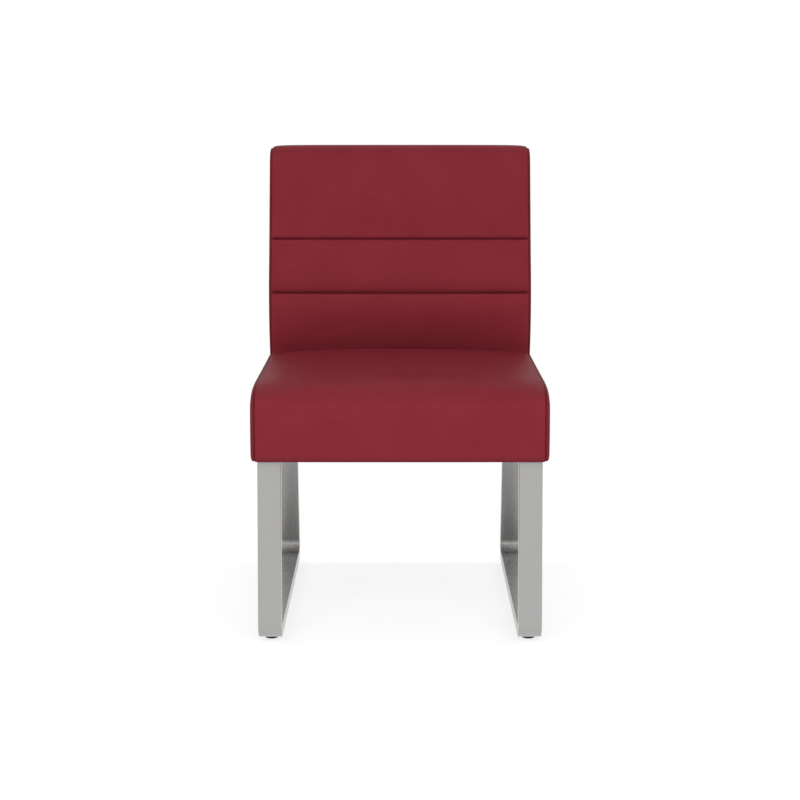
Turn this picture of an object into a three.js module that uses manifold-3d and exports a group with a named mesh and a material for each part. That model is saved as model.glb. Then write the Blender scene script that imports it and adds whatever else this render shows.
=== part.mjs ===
// An armless sled base visitor chair: a boxed seat and a channelled back on two steel loops.
// Millimetres, +Z up, the front of the chair towards -Y. The floor is at z = 0, and the origin lies
// on it under the middle of the chair.
// Inside a group, y is counted from the front of the seat and called reach. Heights in the seat and
// in the back are counted from the underside of the seat.

import Module from 'manifold-3d';
import * as THREE from 'three';
import { mergeVertices } from 'three/addons/utils/BufferGeometryUtils.js';

const wasm = await Module();
wasm.setup();

// Fits shared by all pieces
const clearance = 0.3;
const overrun = 10;

// Seat block
const seatWidth = 508;
const seatDepth = 524.7;
const seatThickness = 127;
const seatHeight = 317.5;
const seatCrown = 9.5;
const seatCrownRise = 45;
const seatCrownPower = 3;
const seatFrontBow = 2;
const waterfallLength = 125;
const waterfallDrop = 35.5;
const waterfallPower = 2.5;
const seatRearRadius = 20;
const lowerEdgeRadius = 4;
const seatSideBulge = 8.5;
const seatSideRounding = 12;

// Back slab
const backWidth = 507;
const backHeight = 524.7;
const backDepth = 49;
const backRake = THREE.MathUtils.degToRad(14);
const frontFaceBend = 291;
const rearFaceBend = 255;
const bendSpan = 45;
const backCrown = 5;
const backCornerDrop = 19;
const backCornerFade = 1.5;
const backSideBulge = 4;
const backSideRounding = 6;
const topFrontRadius = 28;
const topRearRadius = 13;
const lumbarHeight = 212;
const lumbarReach = 95;
const lumbarBulge = 13;
const lowerChannelHeight = 243.8;
const upperChannelHeight = 347.2;
const channelDepth = 7;
const channelHalfWidth = 13;
const panelPillow = 5;

// Covers, padding and suspension
const coverThickness = 1.6;
const seatFrontPadding = 22;
const seatRearPadding = 14;
const hemLap = 5.5;
const strapWidth = 50;
const strapThickness = 1.8;
const strapEndInset = 9;
const feltThickness = 4;

// Seat frame
const railThickness = 32;
const railHeight = 58;
const blockLeg = 55;
const blockHeight = 40;

// Back frame
const rearPanelThickness = 3;
const stileDepth = 24;
const supportPanelThickness = 5;
const frameTopPadding = 22;
const lowerBackRailHeight = 100;
const middleBackRailHeight = 60;
const middleBackRailRise = 215;
const topBackRailHeight = 60;

// Steel loops and the bars that close them
const tubeWidth = 40;
const tubeDepth = 20;
const tubeWall = 2;
const tubeCornerRadius = 1.5;
const frontBendRadius = 30;
const rearBendRadius = 38;
const legSideInset = 10.8;
const legFrontInset = 0.5;
const legRearInset = 10;
const frontLegRake = THREE.MathUtils.degToRad(4.6);
const rearLegRake = THREE.MathUtils.degToRad(17.6);
const barThickness = 6;

// Levelling glides
const footRadius = 12.5;
const footHeight = 7;
const footRimHeight = 1.1;
const footCrownRadius = 11.2;
const footFloor = 1.8;
const studRadius = 4;
const studLength = 22;
const studTip = 0.8;
const glideInset = 53.5;
const sleeveFlangeRadius = 7.5;
const sleeveFlange = 1.5;
const sleeveRadius = 5.5;
const sleeveLength = 13;
const sleeveCrimpRadius = 7;
const sleeveCrimp = 3;

// Bolts through the bars and through the seat's rear rail
const boltRadius = 4;
const boltHeadRadius = 7.5;
const boltHeadHeight = 5.3;
const insertRadius = 6;
const insertLength = 16;
const baseBoltEndInset = 50;
const backBoltEndCover = 3;

// Counts and shares
const loopShares = [0, 0.3, 0.58, 0.8, 0.93, 1];
const backShares = [0, 0.4, 0.75, 0.93, 1];
const seatTopShares = [0.25, 0.5, 0.75];
const lowerPanelShares = [0.8, 0.6, 0.4, 0.2];
const upperPanelShares = [0.7, 0.35];
const strapShares = [-0.5, 0, 0.5];
const crossStrapShares = [0.35, 0.68];
const backBoltShares = [-0.62, -0.21, 0.21, 0.62];
const bendShares = [-1, -0.5, 0, 0.5, 1];
const capBowShare = 0.001;
const roundingSteps = 3;
const waterfallSteps = 8;
const bendSteps = 8;
const roundSides = 18;
const boltSides = 12;

// Places worked out from the sizes above
const halfWidth = seatWidth / 2;
const backHalfWidth = backWidth / 2;
const legCentre = halfWidth - legSideInset - tubeWidth / 2;
const glideRise = footHeight + sleeveFlange;
const barBottom = seatHeight - barThickness;
const backReach = seatDepth + clearance;
const rearLegReach = backReach + backDepth - legRearInset;
const frontBendHeight = glideRise + frontBendRadius;
const rearBendHeight = glideRise + rearBendRadius;
const frontBendReach = legFrontInset + frontBendRadius;
const rearBendReach = rearLegReach + (seatHeight - rearBendHeight) * Math.tan(rearLegRake)
  - rearBendRadius / Math.cos(rearLegRake);
const overallDepth = rearBendReach + rearBendRadius;
const sideRailOuter = legCentre + railThickness / 2;
const sideRailInner = legCentre - railThickness / 2;
const seatFrameFront = seatFrontPadding;
const seatFrameRear = seatDepth - seatRearPadding;
const railTop = coverThickness + railHeight;
const strapLift = (strapThickness + clearance) / 2;
const feltBottom = railTop + strapThickness + strapLift + clearance;
const feltTop = feltBottom + feltThickness;
const padInset = coverThickness + clearance;
const frameTop = backHeight - frameTopPadding;
const frameFoot = lowerEdgeRadius + clearance;
const lowerBackRailTop = frameFoot + lowerBackRailHeight;
const middleBackRailTop = middleBackRailRise + middleBackRailHeight;
const stileFace = padInset + rearPanelThickness + clearance;
const supportFace = stileFace + stileDepth + clearance;
const frameFace = supportFace + supportPanelThickness;
const backBoltHeight = coverThickness + railHeight / 2;
const backBoltSeat = seatFrameRear - railThickness - clearance;
const backBoltLength = backReach + backDepth - stileFace - backBoltEndCover - backBoltSeat;

// Booleans

/** Turns a closed three.js geometry into a solid that can be cut and joined. */
function solidOf(geometry) {
  const bare = geometry.clone();
  bare.deleteAttribute('normal');
  bare.deleteAttribute('uv');
  const merged = mergeVertices(bare);
  const index = merged.index.array;
  const faces = [];
  for (let i = 0; i < index.length; i += 3) {
    const [a, b, c] = [index[i], index[i + 1], index[i + 2]];
    if (a !== b && b !== c && c !== a) {
      faces.push(a, b, c);
    }
  }
  const vertProperties = new Float32Array(merged.attributes.position.array);
  const triVerts = new Uint32Array(faces);
  return new wasm.Manifold(new wasm.Mesh({ numProp: 3, vertProperties, triVerts }));
}

/** Turns a solid back into a geometry with flat facets. */
function geometryOf(solid) {
  const mesh = solid.getMesh();
  const indexed = new THREE.BufferGeometry();
  indexed.setAttribute('position', new THREE.BufferAttribute(mesh.vertProperties, mesh.numProp));
  indexed.setIndex(new THREE.BufferAttribute(mesh.triVerts, 1));
  const geometry = indexed.toNonIndexed();
  geometry.computeVertexNormals();
  return geometry;
}

/** Cuts each tool out of a geometry. */
function cut(geometry, ...tools) {
  return geometryOf(tools.reduce((solid, tool) => solid.subtract(solidOf(tool)), solidOf(geometry)));
}

/** Joins geometries into one body. */
function join(geometry, ...others) {
  return geometryOf(others.reduce((solid, other) => solid.add(solidOf(other)), solidOf(geometry)));
}

/** Keeps what two geometries share. */
function shared(geometry, other) {
  return geometryOf(solidOf(geometry).intersect(solidOf(other)));
}

// Basic shapes

/** A block between two corners, whose faces lie exactly on the given values. */
function block([x0, x1], [y0, y1], [z0, z1]) {
  const geometry = new THREE.BoxGeometry(1, 1, 1);
  const position = geometry.attributes.position;
  for (let i = 0; i < position.count; i += 1) {
    position.setXYZ(
      i,
      position.getX(i) < 0 ? x0 : x1,
      position.getY(i) < 0 ? y0 : y1,
      position.getZ(i) < 0 ? z0 : z1,
    );
  }
  return geometry;
}

/** A round rod along Z. */
function rod(radius, x, y, [z0, z1], sides = boltSides) {
  const geometry = new THREE.CylinderGeometry(radius, radius, z1 - z0, sides);
  geometry.rotateX(Math.PI / 2);
  return geometry.translate(x, y, (z0 + z1) / 2);
}

/** A round rod along Y. */
function rodAlongY(radius, x, z, [y0, y1], sides = boltSides) {
  const geometry = new THREE.CylinderGeometry(radius, radius, y1 - y0, sides);
  return geometry.translate(x, (y0 + y1) / 2, z);
}

/** A turned piece about Z, from points of radius and height. */
function turned(points, sides = roundSides) {
  const profile = points.map(([radius, height]) => new THREE.Vector2(radius, height));
  return new THREE.LatheGeometry(profile, sides).rotateX(Math.PI / 2);
}

/** Extrudes a shape drawn in reach and height along X, between two exact planes. */
function alongX(shape, [x0, x1], curveSegments = bendSteps) {
  const geometry = new THREE.ExtrudeGeometry(shape, { depth: 1, bevelEnabled: false, curveSegments });
  const position = geometry.attributes.position;
  for (let i = 0; i < position.count; i += 1) {
    const [reach, height, side] = [position.getX(i), position.getY(i), position.getZ(i)];
    position.setXYZ(i, side < 1 / 2 ? x0 : x1, reach, height);
  }
  return geometry;
}

/** Points of an elliptical arc in reach and height, between two angles in degrees. */
function arcPoints(y, z, radiusY, radiusZ, from, to, steps) {
  const points = [];
  for (let i = 0; i <= steps; i += 1) {
    const angle = THREE.MathUtils.degToRad(from + ((to - from) * i) / steps);
    points.push([y + radiusY * Math.cos(angle), z + radiusZ * Math.sin(angle)]);
  }
  return points;
}

/** Bows the straight runs of a flat loop a hair outwards, so that no three points lie in a line. */
function bowed(loop) {
  const centre = new THREE.Vector2();
  loop.forEach((point) => centre.addScaledVector(point, 1 / loop.length));
  const reach = Math.max(...loop.map((point) => point.distanceTo(centre)));
  return loop.map((point) => {
    const drawn = capBowShare * (point.distanceTo(centre) / reach) ** 2;
    return point.clone().lerp(centre, drawn);
  });
}

/** Skins a row of closed loops that run anticlockwise in reach and height, and caps both ends. */
function skin(rings) {
  const size = rings[0].length;
  const faces = [];
  for (let r = 0; r < rings.length - 1; r += 1) {
    for (let i = 0; i < size; i += 1) {
      const [a, b] = [r * size + i, r * size + ((i + 1) % size)];
      faces.push(a, b, b + size, a, b + size, a + size);
    }
  }
  [0, rings.length - 1].forEach((r) => {
    const flat = bowed(rings[r].map((point) => new THREE.Vector2(point.y, point.z)));
    THREE.ShapeUtils.triangulateShape(flat, []).forEach(([a, b, c]) => {
      const turn = THREE.ShapeUtils.area([flat[a], flat[b], flat[c]]) > 0;
      const facesRight = r > 0;
      const [second, third] = turn === facesRight ? [b, c] : [c, b];
      faces.push(r * size + a, r * size + second, r * size + third);
    });
  });
  const geometry = new THREE.BufferGeometry().setFromPoints(rings.flat());
  geometry.setIndex(faces);
  return geometry;
}

/** Mirrors a list of stations for the right half into a full row from left to right. */
function mirrored(stations) {
  const left = stations.slice(1).reverse().map((station) => ({ ...station, x: -station.x }));
  return [...left, ...stations];
}

// Seat forms

/** Stations across the seat: flat shares of the top panel, then the bulge of the side panel. */
function seatStations(inset) {
  const seam = halfWidth - seatSideBulge - inset;
  const stations = loopShares.map((share) => ({ x: seam * share, across: share, rounding: 0 }));
  for (let i = 1; i <= roundingSteps; i += 1) {
    const angle = (Math.PI / 2) * (i / roundingSteps);
    const x = seam + seatSideBulge * Math.sin(angle);
    stations.push({ x, across: 1, rounding: seatSideRounding * (1 - Math.cos(angle)) });
  }
  return mirrored(stations);
}

/** The seat's side profile, drawn in by an inset all round and by a side rounding. */
function seatLoop(inset, rounding) {
  const front = inset + rounding;
  const rear = seatDepth - inset - rounding;
  const low = inset + rounding / 2;
  const high = seatThickness - inset - rounding;
  const length = waterfallLength - inset - rounding;
  const drop = waterfallDrop - inset - rounding;
  const corner = lowerEdgeRadius - inset / 2;
  const topRear = rear - seatRearRadius;
  const topFront = front + length;
  const power = 2 / waterfallPower;
  const points = [
    ...arcPoints(front + corner, low + corner, corner, corner, 180, 270, 2),
    ...arcPoints(rear - corner, low + corner, corner, corner, 270, 360, 2),
    ...arcPoints(topRear, high - seatRearRadius, seatRearRadius, seatRearRadius, 0, 90, 3),
    ...seatTopShares.map((share) => [topRear + (topFront - topRear) * share, high]),
  ];
  for (let i = waterfallSteps; i >= 0; i -= 1) {
    const angle = (Math.PI / 2) * (i / waterfallSteps);
    const y = front + length * (1 - Math.cos(angle) ** power);
    points.push([y, high - drop * (1 - Math.sin(angle) ** power)]);
  }
  points.push([front, (high - drop + low + corner) / 2]);
  return points;
}

/** The stuffed seat block, drawn in all round by an inset. */
function seatForm(inset) {
  const middle = seatThickness / 2;
  const stuffed = ([y, z], { x, across }) => {
    const upper = THREE.MathUtils.clamp((z - middle) / (seatThickness - middle), 0, 1);
    const rise = THREE.MathUtils.smoothstep(y, 0, seatCrownRise);
    const forward = 1 - THREE.MathUtils.clamp(y / waterfallLength, 0, 1);
    const crown = seatCrown * (1 - across ** seatCrownPower) * rise * upper;
    return new THREE.Vector3(x, y + seatFrontBow * across ** 2 * forward, z + crown);
  };
  return skin(seatStations(inset).map((station) => seatLoop(inset, station.rounding)
    .map((point) => stuffed(point, station))));
}

// Back forms

/** How far the raked part of the back has leaned at a height, eased in around its bend. */
function leanAt(height, bendHeight) {
  const past = height - bendHeight;
  if (past <= -bendSpan) {
    return 0;
  }
  const eased = past >= bendSpan ? past : (past + bendSpan) ** 2 / (4 * bendSpan);
  return Math.tan(backRake) * eased;
}

/** Heights at which the rear face turns, between two limits. */
function bendHeights(low, high) {
  return bendShares.map((share) => rearFaceBend + bendSpan * share)
    .filter((height) => height > low && height < high);
}

/** The rear face of the back, from the plane of its lower front. */
function rearLine(height) {
  return backDepth + leanAt(height, rearFaceBend);
}

/** The front face of the back at its side seam, with the lumbar swell. */
function frontLine(height) {
  const reach = height < lumbarHeight ? lumbarHeight - seatThickness : lumbarReach;
  const across = (height - lumbarHeight) / reach;
  const swell = Math.abs(across) < 1 ? lumbarBulge * (1 - across ** 2) ** 1.5 : 0;
  return leanAt(height, frontFaceBend) - swell;
}

/** How far a sewn panel between two heights pillows out at a height. */
function pillowAt(height, low, high) {
  const share = (height - low) / (high - low);
  return share > 0 && share < 1 ? panelPillow * Math.sin(Math.PI * share) : 0;
}

/** Stations across the back: shares of the front panel, then the bulge of the side panel. */
function backStations(inset) {
  const edge = backHalfWidth - inset;
  const seam = edge - backSideBulge;
  const dropAt = (x) => (backCornerDrop * backCornerFade) / (edge - x + backCornerFade);
  const stations = backShares.map((share) => {
    const x = seam * share;
    const fade = THREE.MathUtils.clamp((seam - x) / channelHalfWidth, 0, 1);
    return { x, fade, drop: dropAt(x), rounding: 0 };
  });
  for (let i = 1; i <= roundingSteps; i += 1) {
    const angle = (Math.PI / 2) * (i / roundingSteps);
    const x = seam + backSideBulge * Math.sin(angle);
    stations.push({ x, fade: 0, drop: dropAt(seam), rounding: backSideRounding * (1 - Math.cos(angle)) });
  }
  return mirrored(stations);
}

/** The back's side profile at a station, drawn in by an inset all round. */
function backLoop(inset, { x, fade, drop, rounding }) {
  const face = inset + rounding;
  const corner = lowerEdgeRadius - inset / 2;
  const high = backHeight - inset - drop - rounding;
  const frontRadius = topFrontRadius - inset;
  const rearRadius = topRearRadius - inset;
  const across = Math.min(Math.abs(x) / backHalfWidth, 1);
  const upperLow = upperChannelHeight + channelHalfWidth;
  const upperHigh = high - frontRadius;
  const lowerHigh = lowerChannelHeight - channelHalfWidth;
  const frontLevels = [
    upperHigh,
    ...upperPanelShares.map((share) => upperLow + (upperHigh - upperLow) * share),
    upperLow,
    upperChannelHeight,
    upperChannelHeight - channelHalfWidth,
    (upperChannelHeight + lowerChannelHeight) / 2,
    lowerChannelHeight + channelHalfWidth,
    lowerChannelHeight,
    ...lowerPanelShares.map((share) => seatThickness + (lowerHigh - seatThickness) * share),
    lowerHigh,
    seatThickness,
    seatThickness / 2,
  ].sort((a, b) => b - a);
  const rearLevels = bendHeights(seatThickness, high - rearRadius);
  rearLevels.unshift(seatThickness);
  rearLevels.push((rearLevels.at(-1) + high - rearRadius) / 2);
  const front = (z) => {
    const rise = THREE.MathUtils.smoothstep(z, seatThickness, lumbarHeight);
    const crown = backCrown * (1 - across ** 2) * rise;
    const groove = [lowerChannelHeight, upperChannelHeight]
      .map((channel) => channelDepth * Math.max(0, 1 - Math.abs(z - channel) / channelHalfWidth))
      .reduce((sum, depth) => sum + depth, 0);
    const pillow = pillowAt(z, seatThickness, lowerChannelHeight)
      + pillowAt(z, lowerChannelHeight, upperChannelHeight)
      + pillowAt(z, upperChannelHeight, backHeight);
    return frontLine(z) + face - crown + (groove - pillow) * fade;
  };
  const rear = (z) => rearLine(z) - face;
  const topRear = arcPoints(-rearRadius, high - rearRadius, rearRadius, rearRadius, 0, 90, 3);
  const topFront = arcPoints(frontRadius, high - frontRadius, frontRadius, frontRadius, 90, 180, 4);
  return [
    ...arcPoints(face + corner, inset + corner, corner, corner, 180, 270, 2),
    ...arcPoints(backDepth - face - corner, inset + corner, corner, corner, 270, 360, 2),
    ...rearLevels.map((z) => [rear(z), z]),
    ...topRear.map(([y, z]) => [rear(z) + y, z]),
    ...topFront.map(([y, z]) => [front(z) + y, z]),
    ...frontLevels.slice(1).map((z) => [front(z), z]),
  ];
}

/** The stuffed back slab, drawn in all round by an inset. */
function backForm(inset) {
  return skin(backStations(inset).map((station) => backLoop(inset, station)
    .map(([y, z]) => new THREE.Vector3(station.x, y, z))));
}

/** A bent strip that follows the back's rear face, between two depths and two heights. */
function bentStrip([nearDepth, farDepth], [low, high]) {
  const pointAt = (height, depth) => {
    const slope = Math.atan(leanAt(height + 1, rearFaceBend) - leanAt(height, rearFaceBend));
    return [rearLine(height) - depth * Math.cos(slope), height + depth * Math.sin(slope)];
  };
  const heights = [low, ...bendHeights(low, high), high];
  const outline = [
    ...heights.map((height) => pointAt(height, nearDepth)),
    ...heights.reverse().map((height) => pointAt(height, farDepth)),
  ];
  return new THREE.Shape(outline.map(([y, z]) => new THREE.Vector2(y, z)));
}

// Finishes

const finishes = {
  vinyl: { color: 0x852f39, roughness: 0.45, metalness: 0 },
  brushedSteel: { color: 0xb2b1ae, roughness: 0.38, metalness: 1 },
  zincSteel: { color: 0xbcbfc4, roughness: 0.35, metalness: 1 },
  nylon: { color: 0x1d1d1f, roughness: 0.55, metalness: 0 },
  birch: { color: 0xc8a878, roughness: 0.7, metalness: 0 },
  fibreboard: { color: 0x8d6f4d, roughness: 0.85, metalness: 0 },
  foam: { color: 0xe3d8ae, roughness: 0.95, metalness: 0 },
  felt: { color: 0x8b8781, roughness: 1, metalness: 0 },
  webbing: { color: 0x2f2f33, roughness: 0.9, metalness: 0 },
  dustCloth: { color: 0x18181a, roughness: 0.95, metalness: 0 },
};

/** A named mesh with a finish of its own. */
function piece(name, geometry, finish) {
  const mesh = new THREE.Mesh(geometry, new THREE.MeshStandardMaterial(finishes[finish]));
  mesh.name = name;
  return mesh;
}

/** A group at a place, holding pieces and other groups. */
function groupAt([x, y, z], ...children) {
  const group = new THREE.Group();
  group.position.set(x, y, z);
  group.add(...children);
  return group;
}

// Steel base

/** The reach of a plane in the front leg at a height, at a depth from the leg's outer face. */
function frontLegAt(height, depth) {
  const fromAxis = (depth - frontBendRadius) / Math.cos(frontLegRake);
  return frontBendReach + (height - frontBendHeight) * Math.tan(frontLegRake) + fromAxis;
}

/** The reach of a plane in the rear leg at a height, at a depth from the leg's outer face. */
function rearLegAt(height, depth) {
  return rearLegReach + (seatHeight - height) * Math.tan(rearLegRake) - depth / Math.cos(rearLegRake);
}

/** The outline of the bent loop, with its outer and inner faces drawn in by a wall. */
function loopOutline(wall) {
  const top = seatHeight + overrun;
  const down = (3 * Math.PI) / 2;
  const front = Math.PI - frontLegRake;
  const rear = 2 * Math.PI + rearLegRake;
  const outline = new THREE.Shape();
  outline.moveTo(frontLegAt(top, wall), top);
  outline.absarc(frontBendReach, frontBendHeight, frontBendRadius - wall, front, down, false);
  outline.absarc(rearBendReach, rearBendHeight, rearBendRadius - wall, down, rear, false);
  outline.lineTo(rearLegAt(top, wall), top);
  outline.lineTo(rearLegAt(top, tubeDepth - wall), top);
  outline.absarc(rearBendReach, rearBendHeight, rearBendRadius - tubeDepth + wall, rear, down, true);
  outline.absarc(frontBendReach, frontBendHeight, frontBendRadius - tubeDepth + wall, down, front, true);
  outline.lineTo(frontLegAt(top, tubeDepth - wall), top);
  return outline;
}

const glideReaches = { front: legFrontInset + glideInset, rear: overallDepth - glideInset };
const barFront = frontLegAt(seatHeight, tubeDepth);
const barRear = rearLegAt(seatHeight, tubeDepth);
const boltSpan = [barFront + baseBoltEndInset, barRear - baseBoltEndInset];
const baseBoltReaches = [boltSpan[0], (boltSpan[0] + boltSpan[1]) / 2, boltSpan[1]];

/** One hollow loop: front leg, floor rail and raked rear leg, open at both tops. */
function legLoop() {
  const half = tubeWidth / 2;
  const solid = new THREE.ExtrudeGeometry(loopOutline(0), {
    depth: tubeWidth - 2 * tubeCornerRadius,
    bevelThickness: tubeCornerRadius,
    bevelSize: tubeCornerRadius,
    bevelOffset: -tubeCornerRadius,
    bevelSegments: 2,
    curveSegments: bendSteps,
  });
  const position = solid.attributes.position;
  for (let i = 0; i < position.count; i += 1) {
    const side = position.getZ(i) - half + tubeCornerRadius;
    position.setXYZ(i, side, position.getX(i), position.getY(i));
  }
  const hollow = alongX(loopOutline(tubeWall), [tubeWall - half, half - tubeWall]);
  const across = [-tubeWidth, tubeWidth];
  const beyond = [-overrun, overallDepth + overrun];
  const above = block(across, beyond, [seatHeight, seatHeight + 2 * overrun]);
  const holeHeights = [glideRise - overrun, glideRise + tubeWall + overrun / 2];
  const holes = Object.values(glideReaches)
    .map((reach) => rod(sleeveRadius + clearance, 0, reach, holeHeights, roundSides));
  return cut(solid, hollow, above, ...holes);
}

/** The flat bar between the tops of a loop's legs, drilled for its bolts. */
function mountingBar() {
  const half = tubeWidth / 2;
  const ends = [barBottom, seatHeight].flatMap((height) => [
    [frontLegAt(height, tubeDepth + clearance), height],
    [rearLegAt(height, tubeDepth + clearance), height],
  ]);
  const corners = [ends[0], ends[1], ends[3], ends[2]];
  const flat = alongX(new THREE.Shape(corners.map(([y, z]) => new THREE.Vector2(y, z))), [-half, half]);
  const through = [barBottom - overrun, seatHeight + overrun];
  return cut(flat, ...baseBoltReaches.map((reach) => rod(boltRadius + clearance, 0, reach, through)));
}

/** A domed glide foot with the socket for its stud. */
function glideFoot() {
  const bore = studRadius + clearance;
  return turned([
    [0, 0],
    [(footRadius + bore) / 2, 0],
    [footCrownRadius, footRimHeight / 2],
    [footRadius, footRimHeight * 2],
    [footRadius, footHeight - footRimHeight],
    [footCrownRadius, footHeight],
    [bore, footHeight],
    [bore, footFloor],
    [0, footFloor],
  ]);
}

/** The threaded stud that stands in the foot. */
function glideStud() {
  const top = footFloor + studLength;
  return turned([
    [0, footFloor],
    [studRadius, footFloor],
    [studRadius, top - studTip],
    [studRadius - studTip, top],
    [0, top],
  ], boltSides);
}

/** The threaded sleeve that is crimped into the rail's lower wall. */
function glideSleeve() {
  const bore = studRadius + clearance;
  const wallTop = glideRise + tubeWall;
  return turned([
    [bore, footHeight],
    [sleeveFlangeRadius, footHeight],
    [sleeveFlangeRadius, glideRise],
    [sleeveRadius, glideRise],
    [sleeveRadius, wallTop],
    [sleeveCrimpRadius, wallTop],
    [sleeveRadius, wallTop + sleeveCrimp],
    [sleeveRadius, footHeight + sleeveLength],
    [bore, footHeight + sleeveLength],
    [bore, footHeight],
  ], boltSides);
}

/** A hexagon bolt along Z whose head is seated at z = 0, below the shank. */
function hexBolt(length) {
  const head = rod(boltHeadRadius, 0, 0, [-boltHeadHeight, 0], 6);
  return join(head, rod(boltRadius, 0, 0, [-boltHeadHeight / 2, length]));
}

/** A threaded sleeve, open at both ends, that starts at z = 0. */
function threadedInsert() {
  const bore = boltRadius + clearance;
  return turned([
    [bore, 0],
    [insertRadius, 0],
    [insertRadius, insertLength],
    [bore, insertLength],
    [bore, 0],
  ], boltSides);
}

/** One side of the base with its glides and fasteners. */
function baseSide(side, x) {
  const glides = Object.entries(glideReaches).map(([end, reach]) => groupAt(
    [0, reach, 0],
    piece(`glide_foot_${end}_${side}`, glideFoot(), 'nylon'),
    piece(`glide_stud_${end}_${side}`, glideStud(), 'zincSteel'),
    piece(`glide_sleeve_${end}_${side}`, glideSleeve(), 'zincSteel'),
  ));
  const boltLength = barThickness + coverThickness + insertLength;
  const fasteners = baseBoltReaches.flatMap((reach, i) => {
    const bolt = piece(`base_bolt_${side}_${i + 1}`, hexBolt(boltLength), 'zincSteel');
    bolt.position.set(0, reach, barBottom);
    const insert = piece(`base_insert_${side}_${i + 1}`, threadedInsert(), 'zincSteel');
    insert.position.set(0, reach, seatHeight + coverThickness + clearance);
    return [bolt, insert];
  });
  return groupAt(
    [x, 0, 0],
    piece(`leg_loop_${side}`, legLoop(), 'brushedSteel'),
    piece(`mounting_bar_${side}`, mountingBar(), 'brushedSteel'),
    ...glides,
    ...fasteners,
  );
}

// Seat

const backBoltPlaces = backBoltShares.map((share) => sideRailInner * share);

/** Holes for the base bolts, through whatever lies above the bars. */
function baseBoltHoles(radius, span) {
  return [-legCentre, legCentre]
    .flatMap((x) => baseBoltReaches.map((reach) => rod(radius, x, reach, span)));
}

/** Holes for the bolts between the seat's rear rail and the back, from a plane that y counts from. */
function backBoltHoles(fromReach) {
  const start = backBoltSeat - fromReach;
  const span = [start - overrun, start + backBoltLength + clearance];
  return backBoltPlaces.map((x) => rodAlongY(boltRadius + clearance, x, backBoltHeight, span));
}

/** The sewn cover: the seat's skin, turned in under the frame and open inside the hem. */
function seatCover() {
  const opening = block(
    [-sideRailInner - hemLap, sideRailInner + hemLap],
    [seatFrameFront + railThickness - hemLap, seatFrameRear - railThickness + hemLap],
    [-overrun, 2 * coverThickness],
  );
  const boltHoles = baseBoltHoles(boltRadius + clearance, [-overrun, 2 * coverThickness]);
  return cut(seatForm(0), seatForm(coverThickness), opening, ...boltHoles, ...backBoltHoles(0));
}

/** The foam over and around the seat frame. */
function seatFoam() {
  const frame = block(
    [-sideRailOuter - clearance, sideRailOuter + clearance],
    [seatFrameFront - clearance, seatFrameRear + clearance],
    [-overrun, feltTop + clearance],
  );
  return cut(seatForm(padInset), frame, ...backBoltHoles(0));
}

/** The cloth that closes the underside inside the hem. */
function dustCover() {
  const x = sideRailInner + hemLap - clearance;
  const inset = railThickness - hemLap + clearance;
  return block([-x, x], [seatFrameFront + inset, seatFrameRear - inset], [0, coverThickness]);
}

/** A side rail with the holes for its threaded inserts, on one side of the seat. */
function seatSideRail(side) {
  const faces = [sideRailInner * side, sideRailOuter * side].sort((a, b) => a - b);
  const rail = block(faces, [seatFrameFront, seatFrameRear], [coverThickness, railTop]);
  const depth = [-overrun, coverThickness + insertLength + 2 * boltRadius];
  return cut(rail, ...baseBoltHoles(insertRadius + clearance, depth));
}

/** The front rail, between the side rails. */
function seatFrontRail() {
  return block(
    [-sideRailInner, sideRailInner],
    [seatFrameFront, seatFrameFront + railThickness],
    [coverThickness, railTop],
  );
}

/** The rear rail, between the side rails, drilled for the back's bolts. */
function seatRearRail() {
  const rail = block(
    [-sideRailInner, sideRailInner],
    [seatFrameRear - railThickness, seatFrameRear],
    [coverThickness, railTop],
  );
  return cut(rail, ...backBoltHoles(0));
}

/** A triangular block that stiffens one corner of the seat frame. */
function cornerBlock(side, end) {
  const corner = end > 0 ? seatFrameRear - railThickness : seatFrameFront + railThickness;
  const x = sideRailInner * side;
  const shape = new THREE.Shape([
    new THREE.Vector2(x, corner),
    new THREE.Vector2(x, corner - blockLeg * end),
    new THREE.Vector2(x - blockLeg * side, corner),
  ]);
  return new THREE.ExtrudeGeometry(shape, { depth: blockHeight, bevelEnabled: false })
    .translate(0, 0, coverThickness);
}

/** The side outline of a strap that weaves over and under the straps it crosses. */
function strapShape([from, to], crossings, firstOver) {
  const middle = railTop + strapThickness / 2;
  const onRail = railThickness - strapEndInset;
  const centres = [[from, 0], [from + onRail, 0]];
  crossings.forEach((place, i) => {
    const lift = ((i % 2 === 0) === firstOver ? 1 : -1) * strapLift;
    centres.push([place - strapWidth / 2 - clearance, lift], [place + strapWidth / 2 + clearance, lift]);
  });
  centres.push([to - onRail, 0], [to, 0]);
  const side = (half) => centres.map(([s, lift]) => new THREE.Vector2(s, middle + lift + half));
  return new THREE.Shape([...side(-strapThickness / 2), ...side(strapThickness / 2).reverse()]);
}

const strapPlaces = strapShares.map((share) => sideRailInner * share);
const crossStrapPlaces = crossStrapShares
  .map((share) => seatFrameFront + (seatFrameRear - seatFrameFront) * share);

/** A strap from the front rail to the rear rail. */
function longStrap(i) {
  const ends = [seatFrameFront + strapEndInset, seatFrameRear - strapEndInset];
  const faces = [strapPlaces[i] - strapWidth / 2, strapPlaces[i] + strapWidth / 2];
  return alongX(strapShape(ends, crossStrapPlaces, i % 2 === 0), faces);
}

/** A strap from one side rail to the other. */
function crossStrap(i) {
  const ends = [strapEndInset - sideRailOuter, sideRailOuter - strapEndInset];
  const place = crossStrapPlaces[i];
  const strap = alongX(strapShape(ends, strapPlaces, i % 2 === 1), [-strapWidth / 2, strapWidth / 2]);
  return strap.rotateZ(-Math.PI / 2).translate(0, place, 0);
}

/** The felt pad that keeps the straps from cutting the foam. */
function feltPad() {
  return block([-sideRailOuter, sideRailOuter], [seatFrameFront, seatFrameRear], [feltBottom, feltTop]);
}

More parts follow.
